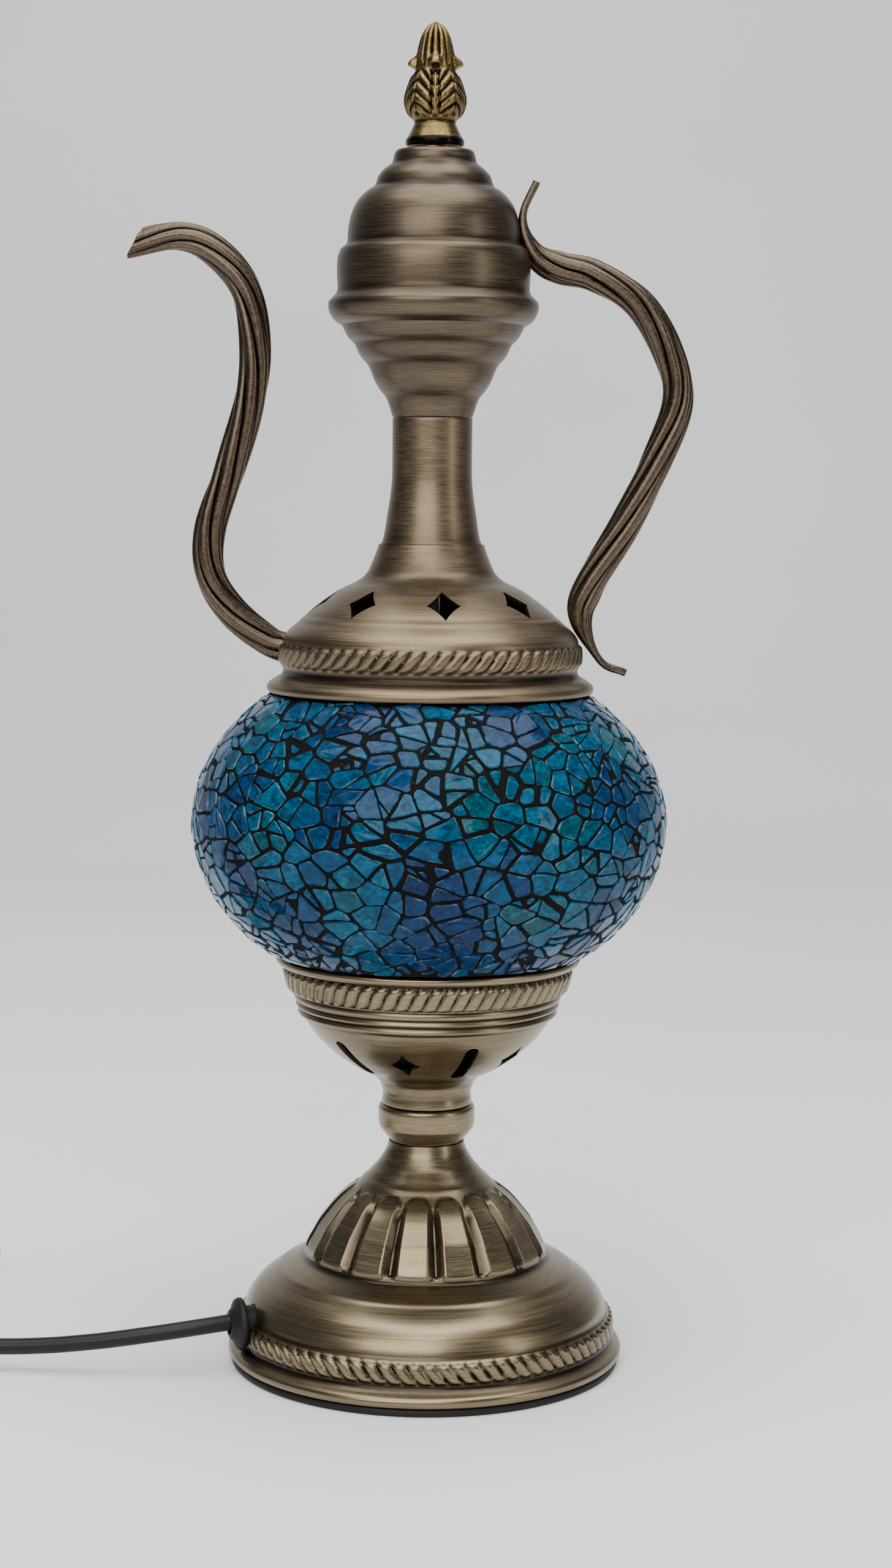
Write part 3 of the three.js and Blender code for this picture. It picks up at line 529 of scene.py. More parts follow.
cord = {
    "radius": 2.75, "length": 1800,
    # from the gland to the switch, through it, and out to the coil
    "lead": [(-63.43, -20.61, 17.5), (-76, -23.6, 16.2), (-92, -25, 14), (-112, -24.2, 11), (-132, -22.2, 8.8),
             (-150, -20.4, 8.1), (-168, -19.2, 8.4), (-183.7, -19, 8.6)],
    "inSwitch": [(-193, -19, 7.4), (-204, -19, 7.1), (-214, -19, 7.1), (-224, -19, 7.1), (-235, -19, 7.4)],
    "link": [(-244.3, -19, 8.6), (-254, -18.8, 7.4), (-265, -16.4, 5.2), (-274.5, -10.4, 3.6), (-280.5, -2, 3),
             (-284, 7.5, 3), (-284.8, 10.5, 3)],
    "tail": [(-259, 83.6, 11), (-253, 85.8, 9.6), (-247.5, 88.6, 8), (-243, 90.3, 7.3), (-240.5, 90.5, 7.2),
             (-238.3, 90.5, 7.2)],
    "coilCentre": (-256, 42), "entryAngle": 196, "exitAngle": 104,
    "lanes": [(35.6, 2.8), (30.0, 2.8), (24.4, 2.8), (24.4, 8.4), (30.0, 8.4), (35.6, 8.4), (27.4, 13.4), (33.0, 13.4)],
    "stepsPerTurn": 24, "tieLift": 1.1,
}


def coilPoints(shift):
    # Clockwise seen from above. Each turn keeps its lane and slides to the next one near its end.
    lanes = cord["lanes"]
    turns = len(lanes) - 1 + (cord["entryAngle"] - cord["exitAngle"]) / 360
    steps = int(turns * cord["stepsPerTurn"])
    points = []
    for i in range(1, steps):
        turn = i * turns / steps
        lane = min(int(turn), len(lanes) - 1)
        along = turn - lane
        blend = float(smoothStep(along, 0.8, 1.0))
        after = lanes[min(lane + 1, len(lanes) - 1)]
        radius = lanes[lane][0] * (1 - blend) + after[0] * blend - shift
        height = lanes[lane][1] * (1 - blend) + after[1] * blend
        angle = math.radians(cord["entryAngle"] - turn * 360)
        fromTie = math.degrees(math.acos(math.cos(angle)))
        height += cord["tieLift"] * math.exp(-(fromTie / 16) ** 2)
        points.append((cord["coilCentre"][0] + radius * math.cos(angle),
                       cord["coilCentre"][1] + radius * math.sin(angle), height))
    return points


def cordRoute(shift):
    return cord["lead"] + cord["inSwitch"] + cord["link"] + coilPoints(shift) + cord["tail"]


def makeCord(points):
    data = bpy.data.curves.new("mainsCord", "CURVE")
    data.dimensions = "3D"
    data.resolution_u = 6
    data.bevel_depth = cord["radius"] * mm
    data.bevel_resolution = 5
    data.use_fill_caps = True
    spline = data.splines.new("BEZIER")
    spline.bezier_points.add(len(points) - 1)
    for knot, point in zip(spline.bezier_points, points):
        knot.co = Vector(point) * mm
        knot.handle_left_type = "AUTO"
        knot.handle_right_type = "AUTO"
    data.materials.append(plain["cordVinyl"])
    piece = bpy.data.objects.new("mainsCord", data)
    bpy.context.collection.objects.link(piece)
    return piece


def routeLength(points):
    line = smoothCurve(points, 1.0)
    return float(np.linalg.norm(np.diff(line, axis=0), axis=1).sum())


def fitCoil():
    # Tightens or eases the turns until the whole cord has its real length.
    low, high = -1.5, 2.5
    for _ in range(24):
        middle = (low + high) / 2
        if routeLength(cordRoute(middle)) > cord["length"]:
            low = middle
        else:
            high = middle
    return middle


coilShift = fitCoil()
print("coil eased by", round(coilShift, 2), "mm, length", round(routeLength(cordRoute(coilShift)), 1))
mainsCord = place(makeCord(cordRoute(coilShift)), "root", ["cord_lead", "cord_link", "cord_coil", "cord_tail"],
                  "cord_pvc")

# ---- turned shells ----

def valleys(line, reach):
    # How deep each point of the line lies below its neighbours on the outer side, 0 to 1.
    spread = line.copy()
    for _ in range(reach):
        spread[1:-1] = 0.25 * spread[:-2] + 0.5 * spread[1:-1] + 0.25 * spread[2:]
    direction = np.gradient(line, axis=0)
    direction /= np.maximum(np.linalg.norm(direction, axis=1), 1e-9)[:, None]
    depth = (spread[:, 0] - line[:, 0]) * direction[:, 1] - (spread[:, 1] - line[:, 1]) * direction[:, 0]
    return np.clip(depth / 0.28, 0, 1)


def ropeBand(look):
    # Pressed rope: slanting rounded lobes between two edges, with dark grooves between them.
    def shape(angle, height):
        across = np.clip((height - look["low"]) / (look["high"] - look["low"]), 0, 1)
        inside = (height > look["low"]) & (height < look["high"])
        phase = angle * look["lobes"] / (2 * np.pi) + look["slant"] * (across - 0.5)
        lobe = np.sqrt(np.abs(np.sin(np.pi * phase)))
        cap = np.sqrt(np.clip(1 - (2 * across - 1) ** 4, 0, 1))
        bulge = np.clip(1.25 * lobe * cap - 0.12, 0, 1)
        return inside * (look["rise"] * bulge - look["sink"]), inside * (1 - bulge) ** 1.5
    return shape


def shellPiece(name, node, look, material, segments, features=(), wall=1.2):
    outer = fineLine(look["line"], step=look.get("step", 0.8))
    dark = valleys(outer, 7)
    inner = insideLine(outer, wall)[::-1]
    line = np.vstack([outer, inner])
    heights = np.concatenate([outer[:, 1], np.full(len(inner), -1e3)])
    # The inner faces are painted dark, 0.7 of the way to the recess colour, as painted shade inside the shells.
    dark = np.concatenate([dark, np.full(len(inner), 0.7)])

    def relief(angle, row):
        total = np.zeros(angle.shape)
        for feature in features:
            total += feature(angle, heights[row])[0]
        return total

    def hollow(angle, row):
        total = 0.9 * dark[row]
        for feature in features:
            total = np.maximum(total, feature(angle, heights[row])[1])
        return total

    lift = bottomOf(node) - look["line"][0][0][1]
    return revolve(name, line, segments, material, relief, True, lift, hollow)


def prism(name, outline, bearing, distance, height, slope, depth=14):
    # A cutter whose outline's first axis runs along the meridian, tipped by the slope.
    count = len(outline)
    tip = Matrix.Rotation(math.radians(bearing), 4, "Z") @ Matrix.Translation(Vector((distance, 0, height)))
    tip = tip @ Matrix.Rotation(math.radians(90 - slope), 4, "Y")
    verts = [tip @ Vector((x, y, side * depth / 2)) * mm for side in (-1, 1) for x, y in outline]
    faces = [tuple(range(count))[::-1], tuple(range(count, 2 * count))]
    faces += [(i, (i + 1) % count, count + (i + 1) % count, count + i) for i in range(count)]
    return makePiece(name, verts, faces, brass["lower"], smooth=False)


def starOutline(reachUp, reachAcross, hollowness, corners=40):
    points = []
    for i in range(corners):
        angle = 2 * math.pi * i / corners
        x, y = math.cos(angle), math.sin(angle)
        points.append((reachUp * math.copysign(abs(x) ** hollowness, x),
                       reachAcross * math.copysign(abs(y) ** hollowness, y)))
    return points


def slotOutline(length, width, corners=12):
    half, radius = (length - width) / 2, width / 2
    points = []
    for side in (1, -1):
        for i in range(corners + 1):
            angle = math.pi * (i / corners - 0.5) + (0 if side > 0 else math.pi)
            points.append((side * half + radius * math.cos(angle), radius * math.sin(angle)))
    return points


base = {
    "line": [
        [(66.2, 2.8), (67.1, 3.6), (67.3, 4.8), (66.9, 6.0), (66.0, 6.5)],
        [(66.0, 6.5), (65.0, 6.9), (64.0, 7.8)], [(64.0, 7.8), (63.0, 8.4), (63.0, 9.2)],
        [(63.0, 9.2), (63.5, 9.8), (63.6, 13.0), (63.4, 16.4), (62.9, 17.0)],
        [(62.9, 17.0), (62.0, 17.4), (61.9, 18.0)],
        [(61.9, 18.0), (61.3, 20.3), (60.3, 22.4), (58.9, 24.5), (57.2, 26.6), (55.0, 28.5), (52.5, 30.3),
         (50.6, 31.6)],
        [(50.6, 31.6), (50.2, 32.3), (49.4, 32.6)], [(49.4, 32.6), (46.5, 33.9), (43.5, 35.2), (41.6, 36.0)],
        [(41.6, 36.0), (40.9, 36.8), (40.6, 38.0)],
        [(40.6, 38.0), (39.6, 40.6), (38.4, 42.8), (37.2, 44.9), (35.9, 47.3), (34.3, 49.4), (32.4, 51.8),
         (30.4, 54.2), (27.8, 56.8), (25.0, 59.0)],
        [(25.0, 59.0), (23.4, 60.6), (22.2, 61.9), (21.7, 62.7)],
        [(21.7, 62.7), (20.4, 63.7), (18.9, 65.3), (16.4, 68.1), (14.8, 70.6), (13.6, 72.8),
         (12.8, 75.74)],
    ],
    "step": 0.6, "segments": 720,
    "rope": {"low": 9.8, "high": 16.6, "lobes": 81, "slant": 0.95, "rise": 1.3, "sink": 0.4},
    "flutes": 16, "fluteTurn": -84.4, "grooveShare": 0.39, "grooveDepth": 1.5, "petalRise": 0.75,
    "archHigh": 60.6, "archDrop": 3.2, "footHigh": 37.4, "footRise": 2.0,
}


def basePanels(angle, height):
    # Sixteen raised petals, brushed flat on top, with smooth dark V grooves between them.
    pitch = 2 * np.pi / base["flutes"]
    turn = (angle - math.radians(base["fluteTurn"])) / pitch
    fromGroove = np.abs(turn - np.round(turn))
    half = base["grooveShare"] / 2
    across = np.clip(fromGroove / half, 0, 1)
    fromPetal = np.clip((0.5 - fromGroove) / 0.5, 0, 1)
    arch = base["archHigh"] - base["archDrop"] * fromPetal ** 3
    foot = base["footHigh"] + base["footRise"] * fromPetal ** 5
    inside = smoothStep(arch - height, -0.3, 1.3) * smoothStep(height - foot, -0.2, 1.0)
    length = smoothStep(base["archHigh"] - 1.5 - height, 0.0, 4.0) * smoothStep(height - base["footHigh"], 0.2, 2.0)
    petalHalf = pitch * (0.5 - half)
    fromMiddle = pitch * (0.5 - fromGroove)
    flat = 36 * (1 - math.cos(petalHalf) / np.cos(np.minimum(fromMiddle, petalHalf)))
    side = across ** 0.9
    petal = inside * side * (base["petalRise"] - flat)
    groove = -base["grooveDepth"] * (1 - side) * length
    dark = 0.8 * (1 - across ** 3) * length + 0.45 * np.exp(-((arch - height + 0.3) / 0.6) ** 2)
    dark += 0.5 * np.exp(-((height - foot + 0.2) / 0.5) ** 2)
    return petal + groove, np.clip(dark, 0, 1) * (height > 0)


baseShell = shellPiece("baseShell", "base_shell", base, brass["lower"], base["segments"],
                       [ropeBand(base["rope"]), basePanels])
bore = [(6.3 * math.cos(2 * math.pi * i / 32), 6.3 * math.sin(2 * math.pi * i / 32)) for i in range(32)]
cutWith(baseShell, [prism("grommetBore", bore, 198, 62, 16.5, 0.0, 26)])
place(sharpenEdges(baseShell, 50), "root", "base_shell", "antique_brass")

knob = {"line": [[(12.4, 75.8), (12.6, 76.6), (13.7, 77.6), (15.4, 79.8), (16.1, 80.8), (16.3, 82.0)],
                 [(16.3, 82.0), (16.4, 84.6), (16.3, 87.2), (15.9, 88.3), (15.0, 88.6)]]}
knobOuter = fineLine(knob["line"], step=0.5)
knobLine = np.vstack([knobOuter, [[5.3, 88.6], [5.3, 75.8]]])
stemKnob = revolve("stemKnob", knobLine, 128, brass["lower"], floor=bottomOf("stem_knob") - 75.8)
place(sharpenEdges(stemKnob), "root", "stem_knob", "antique_brass")
print("base and knob ready")

cup = {
    "line": [
        [(15.3, 88.9), (15.2, 90.4), (14.9, 92.5), (15.5, 94.7), (16.3, 96.8), (17.4, 97.8), (18.3, 98.9)],
        [(18.3, 98.9), (22.0, 100.6), (25.4, 102.4), (28.6, 104.6), (31.3, 106.6), (33.6, 108.6), (35.7, 110.6),
         (37.6, 112.6), (39.3, 114.8), (41.1, 117.4), (42.4, 119.6)],
        [(42.0, 119.4), (43.6, 119.8), (44.1, 120.8), (43.4, 121.9)],
        [(43.0, 122.1), (44.4, 122.5), (44.9, 123.4), (44.2, 124.4)],
        [(43.8, 124.6), (45.1, 125.0), (45.5, 126.0), (44.8, 127.2)],
        [(44.6, 127.5), (46.4, 127.9), (47.4, 130.6), (48.2, 133.8), (48.4, 135.6), (48.0, 136.4)],
        [(48.0, 136.4), (49.6, 136.7), (51.2, 137.6), (51.6, 138.8), (51.4, 139.8), (50.6, 140.2)],
    ],
    "step": 0.55, "segments": 576,
    "rope": {"low": 127.9, "high": 136.0, "lobes": 64, "slant": -0.8, "rise": 1.3, "sink": 0.5},
    "starTurn": -102.5, "slotTurn": -66.5, "ventRadius": 32, "ventHeight": 107.5, "ventSlope": -44,
}
cupShell = shellPiece("cupShell", "cup_shell", cup, brass["lower"], cup["segments"], [ropeBand(cup["rope"])])
cupCutters = []
for i in range(5):
    where = (cup["ventRadius"], cup["ventHeight"], cup["ventSlope"])
    cupCutters.append(prism("cupStar", starOutline(7.6, 5.4, 2.8), cup["starTurn"] + 72 * i, *where))
    cupCutters.append(prism("cupSlot", slotOutline(19.5, 4.8), cup["slotTurn"] + 72 * i, *where))
cutWith(cupShell, cupCutters)
place(sharpenEdges(cupShell), "root", "cup_shell", "antique_brass")
print("cup ready")

dome = {
    "line": [
        [(54.3, 228.9), (54.8, 229.8), (54.6, 231.2), (53.6, 232.2)],
        [(53.6, 232.2), (52.0, 233.3), (50.2, 234.2), (49.4, 235.2)],
        [(49.4, 235.2), (49.1, 236.2), (49.6, 237.0)],
        [(49.6, 237.0), (50.0, 238.2), (50.2, 241.0), (50.0, 244.0), (49.5, 245.2)],
        [(49.5, 245.2), (49.4, 246.4), (48.4, 248.2), (46.8, 249.9), (45.0, 251.4), (43.6, 252.6)],
        [(43.6, 252.6), (43.2, 253.3), (42.2, 253.8)],
        [(42.2, 253.8), (40.0, 255.9), (37.4, 258.0), (34.4, 260.2), (31.0, 262.5), (28.2, 264.0), (25.0, 265.5),
         (22.6, 267.2), (21.2, 268.9), (20.2, 271.0), (19.2, 273.4), (18.3, 275.8), (17.6, 278.05)],
    ],
    "step": 0.6, "segments": 576,
    "rope": {"low": 237.8, "high": 245.0, "lobes": 65, "slant": -1.1, "rise": 1.2, "sink": 0.4},
    "starTurn": -83, "ventRadius": 36, "ventHeight": 259.1, "ventSlope": 47,
}
topDome = shellPiece("topDome", "top_dome", dome, brass["middle"], dome["segments"], [ropeBand(dome["rope"])])
domeCutters = [prism("domeStar", starOutline(7.4, 5.6, 2.3), dome["starTurn"] + 45 * i, dome["ventRadius"],
                     dome["ventHeight"], dome["ventSlope"]) for i in range(8)]
cutWith(topDome, domeCutters)
place(sharpenEdges(topDome), "top", "top_dome", "antique_brass")

neck = {"line": [[(17.0, 278.0), (16.2, 280.0), (15.6, 283.0), (14.9, 288.0), (14.1, 293.0), (13.5, 298.0),
                  (13.3, 303.0), (13.3, 320.25)]], "step": 1.0}
neckTube = shellPiece("neckTube", "neck_tube", neck, brass["middle"], 160)
place(neckTube, "top", "neck_tube", "antique_brass")

funnel = {"line": [
    [(13.3, 320.2), (14.1, 322.6), (14.8, 324.8), (15.6, 326.6)],
    [(15.6, 326.6), (17.6, 329.0), (19.4, 332.0), (20.7, 335.3), (21.7, 337.4)],
    [(21.7, 337.4), (23.6, 339.3), (25.0, 341.6), (26.0, 344.0)],
    [(26.0, 344.0), (27.6, 345.4), (28.9, 347.2), (30.3, 350.2)],
], "step": 0.6}
funnelShell = shellPiece("funnelShell", "funnel_shell", funnel, brass["upper"], 192)
place(sharpenEdges(funnelShell), "top", "funnel_shell", "antique_brass")

bell = {"line": [
    [(30.4, 350.1), (32.6, 351.4), (34.2, 353.6), (34.9, 356.0), (34.8, 357.6), (34.0, 358.6)],
    [(34.0, 358.6), (32.9, 359.6), (32.1, 360.6)],
    [(32.1, 360.6), (31.8, 362.0), (32.0, 366.0), (32.0, 370.4), (31.6, 373.0), (30.8, 375.0)],
    [(30.8, 375.0), (29.2, 376.1), (28.6, 377.4)],
    [(28.6, 377.4), (28.5, 380.5), (28.1, 383.5), (27.4, 386.2), (26.4, 388.8), (25.2, 390.8), (23.4, 392.8),
     (21.4, 394.4)],
    [(21.4, 394.4), (19.8, 395.2), (19.2, 396.6)],
    [(19.2, 396.6), (18.6, 398.6), (17.2, 400.4), (15.2, 402.0), (14.0, 402.9)],
    [(14.0, 402.9), (13.6, 404.2), (13.4, 405.6)],
    [(13.4, 405.6), (12.8, 406.8), (11.6, 407.3), (3.6, 407.4)],
], "step": 0.6}
bellShell = shellPiece("bellShell", "bell_shell", bell, brass["upper"], 224)
place(sharpenEdges(bellShell), "top", "bell_shell", "antique_brass")
print("top shells ready")


# ---- finial ----

finial = {
    "line": [
        [(3.5, 408.5), (9.0, 408.5), (9.6, 409.0), (9.7, 410.2), (9.2, 411.0)],
        [(9.2, 411.0), (8.1, 413.0), (7.0, 415.4)], [(7.0, 415.4), (6.8, 416.2), (7.6, 417.4)],
        [(7.6, 417.4), (9.0, 419.6), (9.8, 422.2), (9.6, 425.0), (8.8, 427.6), (7.9, 430.0), (7.0, 432.0),
         (6.5, 434.0), (6.4, 436.0), (6.1, 438.0), (5.7, 440.0), (5.2, 442.0), (4.4, 444.2), (3.3, 446.2),
         (1.8, 447.8), (0.02, 448.5)],
    ],
    "bore": [(0.02, 419.5), (3.5, 419.5)],
    "step": 0.28, "segments": 320, "leaves": 4, "leafTurn": -90, "ribs": 14, "ribDepth": 0.55, "leafDepth": 0.85,
}


def finialRelief(angle, height):
    quarter = 2 * np.pi / finial["leaves"]
    turn = (angle - math.radians(finial["leafTurn"])) / quarter
    side = turn - np.round(turn)
    out = np.abs(side) * 2
    # the ribbed bud
    rib = np.abs(np.cos(finial["ribs"] / 2 * (angle - math.radians(finial["leafTurn"])))) ** 0.6
    onBud = smoothStep(height, 433.5, 436.5)
    fade = 1 - smoothStep(height, 444.0, 448.3)
    bud = onBud * (rib - 0.75) * finial["ribDepth"] * 1.6 * (0.35 + 0.65 * fade)
    budDark = onBud * smoothStep(1 - rib, 0.15, 0.6) * (0.25 + 0.75 * fade)
    # the leaf's lobes fan up and out from its spine
    onLeaf = smoothStep(height, 417.0, 418.4) * (1 - smoothStep(height, 431.6, 433.6))
    phase = (height - 416.2) / 3.7 - 1.9 * out ** 0.75 + 0.35
    lobe = np.abs(np.sin(np.pi * phase)) ** 0.55
    spine = np.exp(-(out / 0.1) ** 2)
    gutter = np.exp(-((out - 0.2) / 0.05) ** 2)
    between = smoothStep(out, 0.93, 1.0)
    leaf = onLeaf * (finial["leafDepth"] * (lobe - 0.7) * (1 - spine) + 0.55 * spine - 0.5 * gutter - 0.5 * between)
    leafDark = onLeaf * np.clip(smoothStep(1 - lobe, 0.08, 0.5) * (1 - spine) + 0.8 * gutter + between, 0, 1)
    # its tip curls out as a small hood over a hollow, with painted shade under the hood
    width = np.exp(-(out / 0.34) ** 4)
    hood = 2.7 * width * smoothStep(height, 432.8, 434.2) * (1 - smoothStep(height, 434.8, 438.2))
    under = np.exp(-(out / 0.2) ** 4) * np.exp(-((height - 432.4) / 0.9) ** 2)
    # The dark mark is partly patina in the cast hollows and partly painted shade, strongest under the hood.
    dark = np.clip(np.maximum(np.maximum(budDark, leafDark), 1.0 * under) - hood * 0.5, 0, 1)
    # The waist crease and the foot below 411 mm are painted dark: cast patina together with painted shade.
    base_ = np.exp(-((height - 416.3) / 0.5) ** 2) + 1.0 * (height < 411.0)
    return bud + leaf + hood - 1.1 * under, np.clip(dark + base_, 0, 1)


finialOuter = fineLine(finial["line"], step=finial["step"])
finialLine = np.vstack([finialOuter, finial["bore"]])
finialHeights = np.concatenate([finialOuter[:, 1], [-1e3, -1e3]])
castFinial = revolve(
    "castFinial", finialLine, finial["segments"], brass["cast"],
    lambda angle, row: finialRelief(angle, finialHeights[row])[0], True, bottomOf("finial") - 408.5,
    lambda angle, row: finialRelief(angle, finialHeights[row])[1])
place(castFinial, "finial", "finial", "cast_brass")

washer = [(3.5, 407.7), (7.9, 407.7), (8.0, 407.8), (8.0, 408.1), (7.9, 408.2), (3.5, 408.2)]
place(sharpenEdges(revolve("finialWasher", np.array(washer), 96, plain["turnedBrass"],
                           floor=bottomOf("finial_washer") - 407.7)), "finial_washer", "finial_washer", "cast_brass")
print("finial ready")


# ---- twisted tubes ----

def tubeAlong(name, points, section, material, step=0.9, segments=160, ends=(True, True), shift=None):
    # Sweeps section(share, angle) -> (out in the plane, sideways) along a path in the X-Z plane.
    path = smoothCurve([(x, z) for x, z in points], step)
    ahead = np.gradient(path, axis=0)
    ahead /= np.linalg.norm(ahead, axis=1)[:, None]
    along = np.concatenate([[0], np.cumsum(np.linalg.norm(np.diff(path, axis=0), axis=1))])
    angles = np.arange(segments) * 2 * np.pi / segments
    angle, row = np.meshgrid(angles, np.arange(len(path)))
    out, sideways, dark = section(along[row] / along[-1], along[row], angle)
    slide = 0 if shift is None else shift(along[row], angle)
    x = path[row, 0] - out * ahead[row, 1] + slide * ahead[row, 0]
    z = path[row, 1] + out * ahead[row, 0] + slide * ahead[row, 1]
    verts = np.stack([x, sideways, z], axis=-1).reshape(-1, 3) * mm
    faces = []
    for i in range(len(path) - 1):
        for j in range(segments):
            k = (j + 1) % segments
            faces.append((i * segments + j, i * segments + k, (i + 1) * segments + k, (i + 1) * segments + j))
    if ends[0]:
        faces.append(tuple(range(segments))[::-1])
    if ends[1]:
        faces.append(tuple(range((len(path) - 1) * segments, len(path) * segments)))
    return makePiece(name, verts, faces, material, attributes={"recess": dark.reshape(-1)})


twist = {"lobes": 6, "depth": 1.35, "spoutTurns": 0.95, "handleTurns": -0.95, "radius": 5.35, "bore": 4.0}
spout = {"path": [(-102, 375.6), (-84, 378.6), (-72, 373.6), (-62, 361.1), (-59, 342.1), (-61, 324.1),
                  (-67.5, 301.9), (-74, 281.9), (-73.5, 266.7), (-66, 254.7), (-54.6, 245.5), (-48.6, 243.0)],
         "mouthDepth": 16, "mouthCut": 6.5, "cutReach": 20}
handle = {"path": [(33.6, 397.1), (29.4, 387.5), (30.0, 379.6), (34.6, 372.6), (42.0, 369.3), (53.0, 367.0),
                   (67.9, 358.1), (77.9, 342.1),
                   (81.4, 326.1), (74.9, 306.9), (64.9, 285.9), (52.9, 264.7), (50.3, 253.2), (56.9, 239.7),
                   (65.4, 235.7)],
          "stripHalfWidth": 4.6, "stripHalfThickness": 1.3}


def twistedSection(turns, squeeze):
    # Broad rounded lobes that wind slowly round the tube, with deep grooves between them.
    def section(share, along, angle):
        wave = np.abs(np.cos(twist["lobes"] / 2 * (angle - 2 * np.pi * turns * share))) ** 0.6
        wide, thick, plainness = squeeze(share, along)
        radius = 1 - (1 - plainness) * twist["depth"] / twist["radius"] * (1 - wave)
        power = 1 - 0.45 * plainness
        x = np.sign(np.cos(angle)) * np.abs(np.cos(angle)) ** power
        y = np.sign(np.sin(angle)) * np.abs(np.sin(angle)) ** power
        dark = (1 - plainness) * smoothStep(1 - wave, 0.3, 0.75)
        return thick * radius * x, wide * radius * y, dark
    return section


def spoutSqueeze(share, along):
    narrow = 0.86 + 0.14 * smoothStep(along, 0, 45)
    return twist["radius"] * narrow, twist["radius"] * narrow, 0 * share


def handleSqueeze(share, along):
    flatTop = 1 - smoothStep(share, 0.05, 0.17)
    flatFoot = smoothStep(share, 0.83, 0.95)
    flat = np.maximum(flatTop, flatFoot)
    wide = twist["radius"] + (handle["stripHalfWidth"] - twist["radius"]) * flat
    thick = twist["radius"] + (handle["stripHalfThickness"] - twist["radius"]) * flat
    curl = 1 - 0.35 * smoothStep(share, 0.975, 1.0) - 0.2 * (1 - smoothStep(share, 0, 0.02))
    return wide * curl, thick, flat


def mouthShift(along, angle):
    # Cuts the mouth aslant: the upper lip lies further back than the lower one.
    back = 1 - np.clip(along / spout["cutReach"], 0, 1)
    return spout["mouthCut"] * back * (1 + np.cos(angle)) / 2


def boreSection(share, along, angle):
    size = twist["bore"] * 0.86 * (1 - 0.5 * smoothStep(share, 0.8, 1.0))
    # The bore is painted dark as shade inside the mouth: 0.4 at the lip, full dark further in.
    return size * np.cos(angle), size * np.sin(angle), np.clip(0.4 + share * 2, 0, 1)


spoutTube = tubeAlong("spoutTube", spout["path"], twistedSection(twist["spoutTurns"], spoutSqueeze), brass["tube"],
                      ends=(False, True), shift=mouthShift)
spoutPath = smoothCurve(spout["path"], 0.9)
mouthPath = [tuple(p) for p in spoutPath[:int(spout["mouthDepth"] / 0.9):3]]
spoutBore = tubeAlong("spoutBore", mouthPath, boreSection, brass["tube"], ends=(False, True), shift=mouthShift)


def mouthLip(outerPiece, innerPiece, segments=72):
    # Joins the bore to the tube with the ring of metal at the mouth, and turns the bore's faces in.
    whole = joinPieces([outerPiece, innerPiece], outerPiece.name)
    work = bmesh.new()
    work.from_mesh(whole.data)
    rims = [edge for edge in work.edges if len(edge.link_faces) == 1]
    bmesh.ops.bridge_loops(work, edges=rims)
    bmesh.ops.recalc_face_normals(work, faces=work.faces)
    work.to_mesh(whole.data)
    work.free()
    return whole


place(sharpenEdges(mouthLip(spoutTube, spoutBore), 60), "top", "spout", "antique_brass")
handleTube = tubeAlong("handleTube", handle["path"], twistedSection(twist["handleTurns"], handleSqueeze),
                       brass["tube"])
place(sharpenEdges(handleTube, 60), "top", "handle", "antique_brass")
print("spout and handle ready")


# ---- mosaic globe ----

globe = {
    "radius": 80.0, "halfHeight": 59.0, "mouthHeight": 43.9, "cells": 760, "largest": 74.0,
    "gap": (0.28, 0.78), "bend": 1.3, "bendScale": 11, "thickness": 1.9, "tilt": 0.5, "bevel": 0.28,
    "groutInset": 0.75, "skin": 3.0, "glassInset": 3.3, "glassWall": 2.4,
}
chance = random.Random(7)


def unitPoint():
    z = chance.uniform(-1, 1)
    angle = chance.uniform(0, 2 * math.pi)
    flat = math.sqrt(1 - z * z)
    return Vector((flat * math.cos(angle), flat * math.sin(angle), z))


def spreadSeeds(count):
    # Random points on the sphere, each the farthest of a few tries from those before it.
    seeds = [unitPoint()]
    while len(seeds) < count:
        tries = [unitPoint() for _ in range(6)]
        seeds.append(max(tries, key=lambda p: min((p - s).length_squared for s in seeds)))
    return seeds


def onGlobe(point, inset=0.0):
    direction = point.normalized()
    wide, tall = globe["radius"] - inset, globe["halfHeight"] - inset
    return Vector((wide * direction.x, wide * direction.y, tall * direction.z))


def globeNormal(point):
    direction = point.normalized()
    normal = Vector((direction.x / globe["radius"], direction.y / globe["radius"],
                     direction.z / globe["halfHeight"]))
    return normal.normalized()


def voronoiCells(seeds):
    work = bmesh.new()
    for seed in seeds:
        work.verts.new(seed)
    bmesh.ops.convex_hull(work, input=work.verts)
    cells = []
    for vert in work.verts:
        centres = [face.normal.normalized() for face in vert.link_faces]
        side = vert.co.orthogonal().normalized()
        other = vert.co.cross(side).normalized()
        centres.sort(key=lambda c: math.atan2((c - vert.co).dot(other), (c - vert.co).dot(side)))
        cells.append(centres)
    work.free()
    return cells


def clipCell(cell, normal, limit):
    # Keeps the part of the cell where point . normal is at least the limit.
    kept = []
    for i, point in enumerate(cell):
        after = cell[(i + 1) % len(cell)]
        here, there = point.dot(normal) - limit, after.dot(normal) - limit
        if here >= 0:
            kept.append(point)
        if (here >= 0) != (there >= 0):
            kept.append(point.lerp(after, here / (here - there)))
    return kept


def cellArea(cell):
    points = [onGlobe(p) for p in cell]
    total = Vector((0, 0, 0))
    for i in range(1, len(points) - 1):
        total += (points[i] - points[0]).cross(points[i + 1] - points[0])
    return total.length / 2


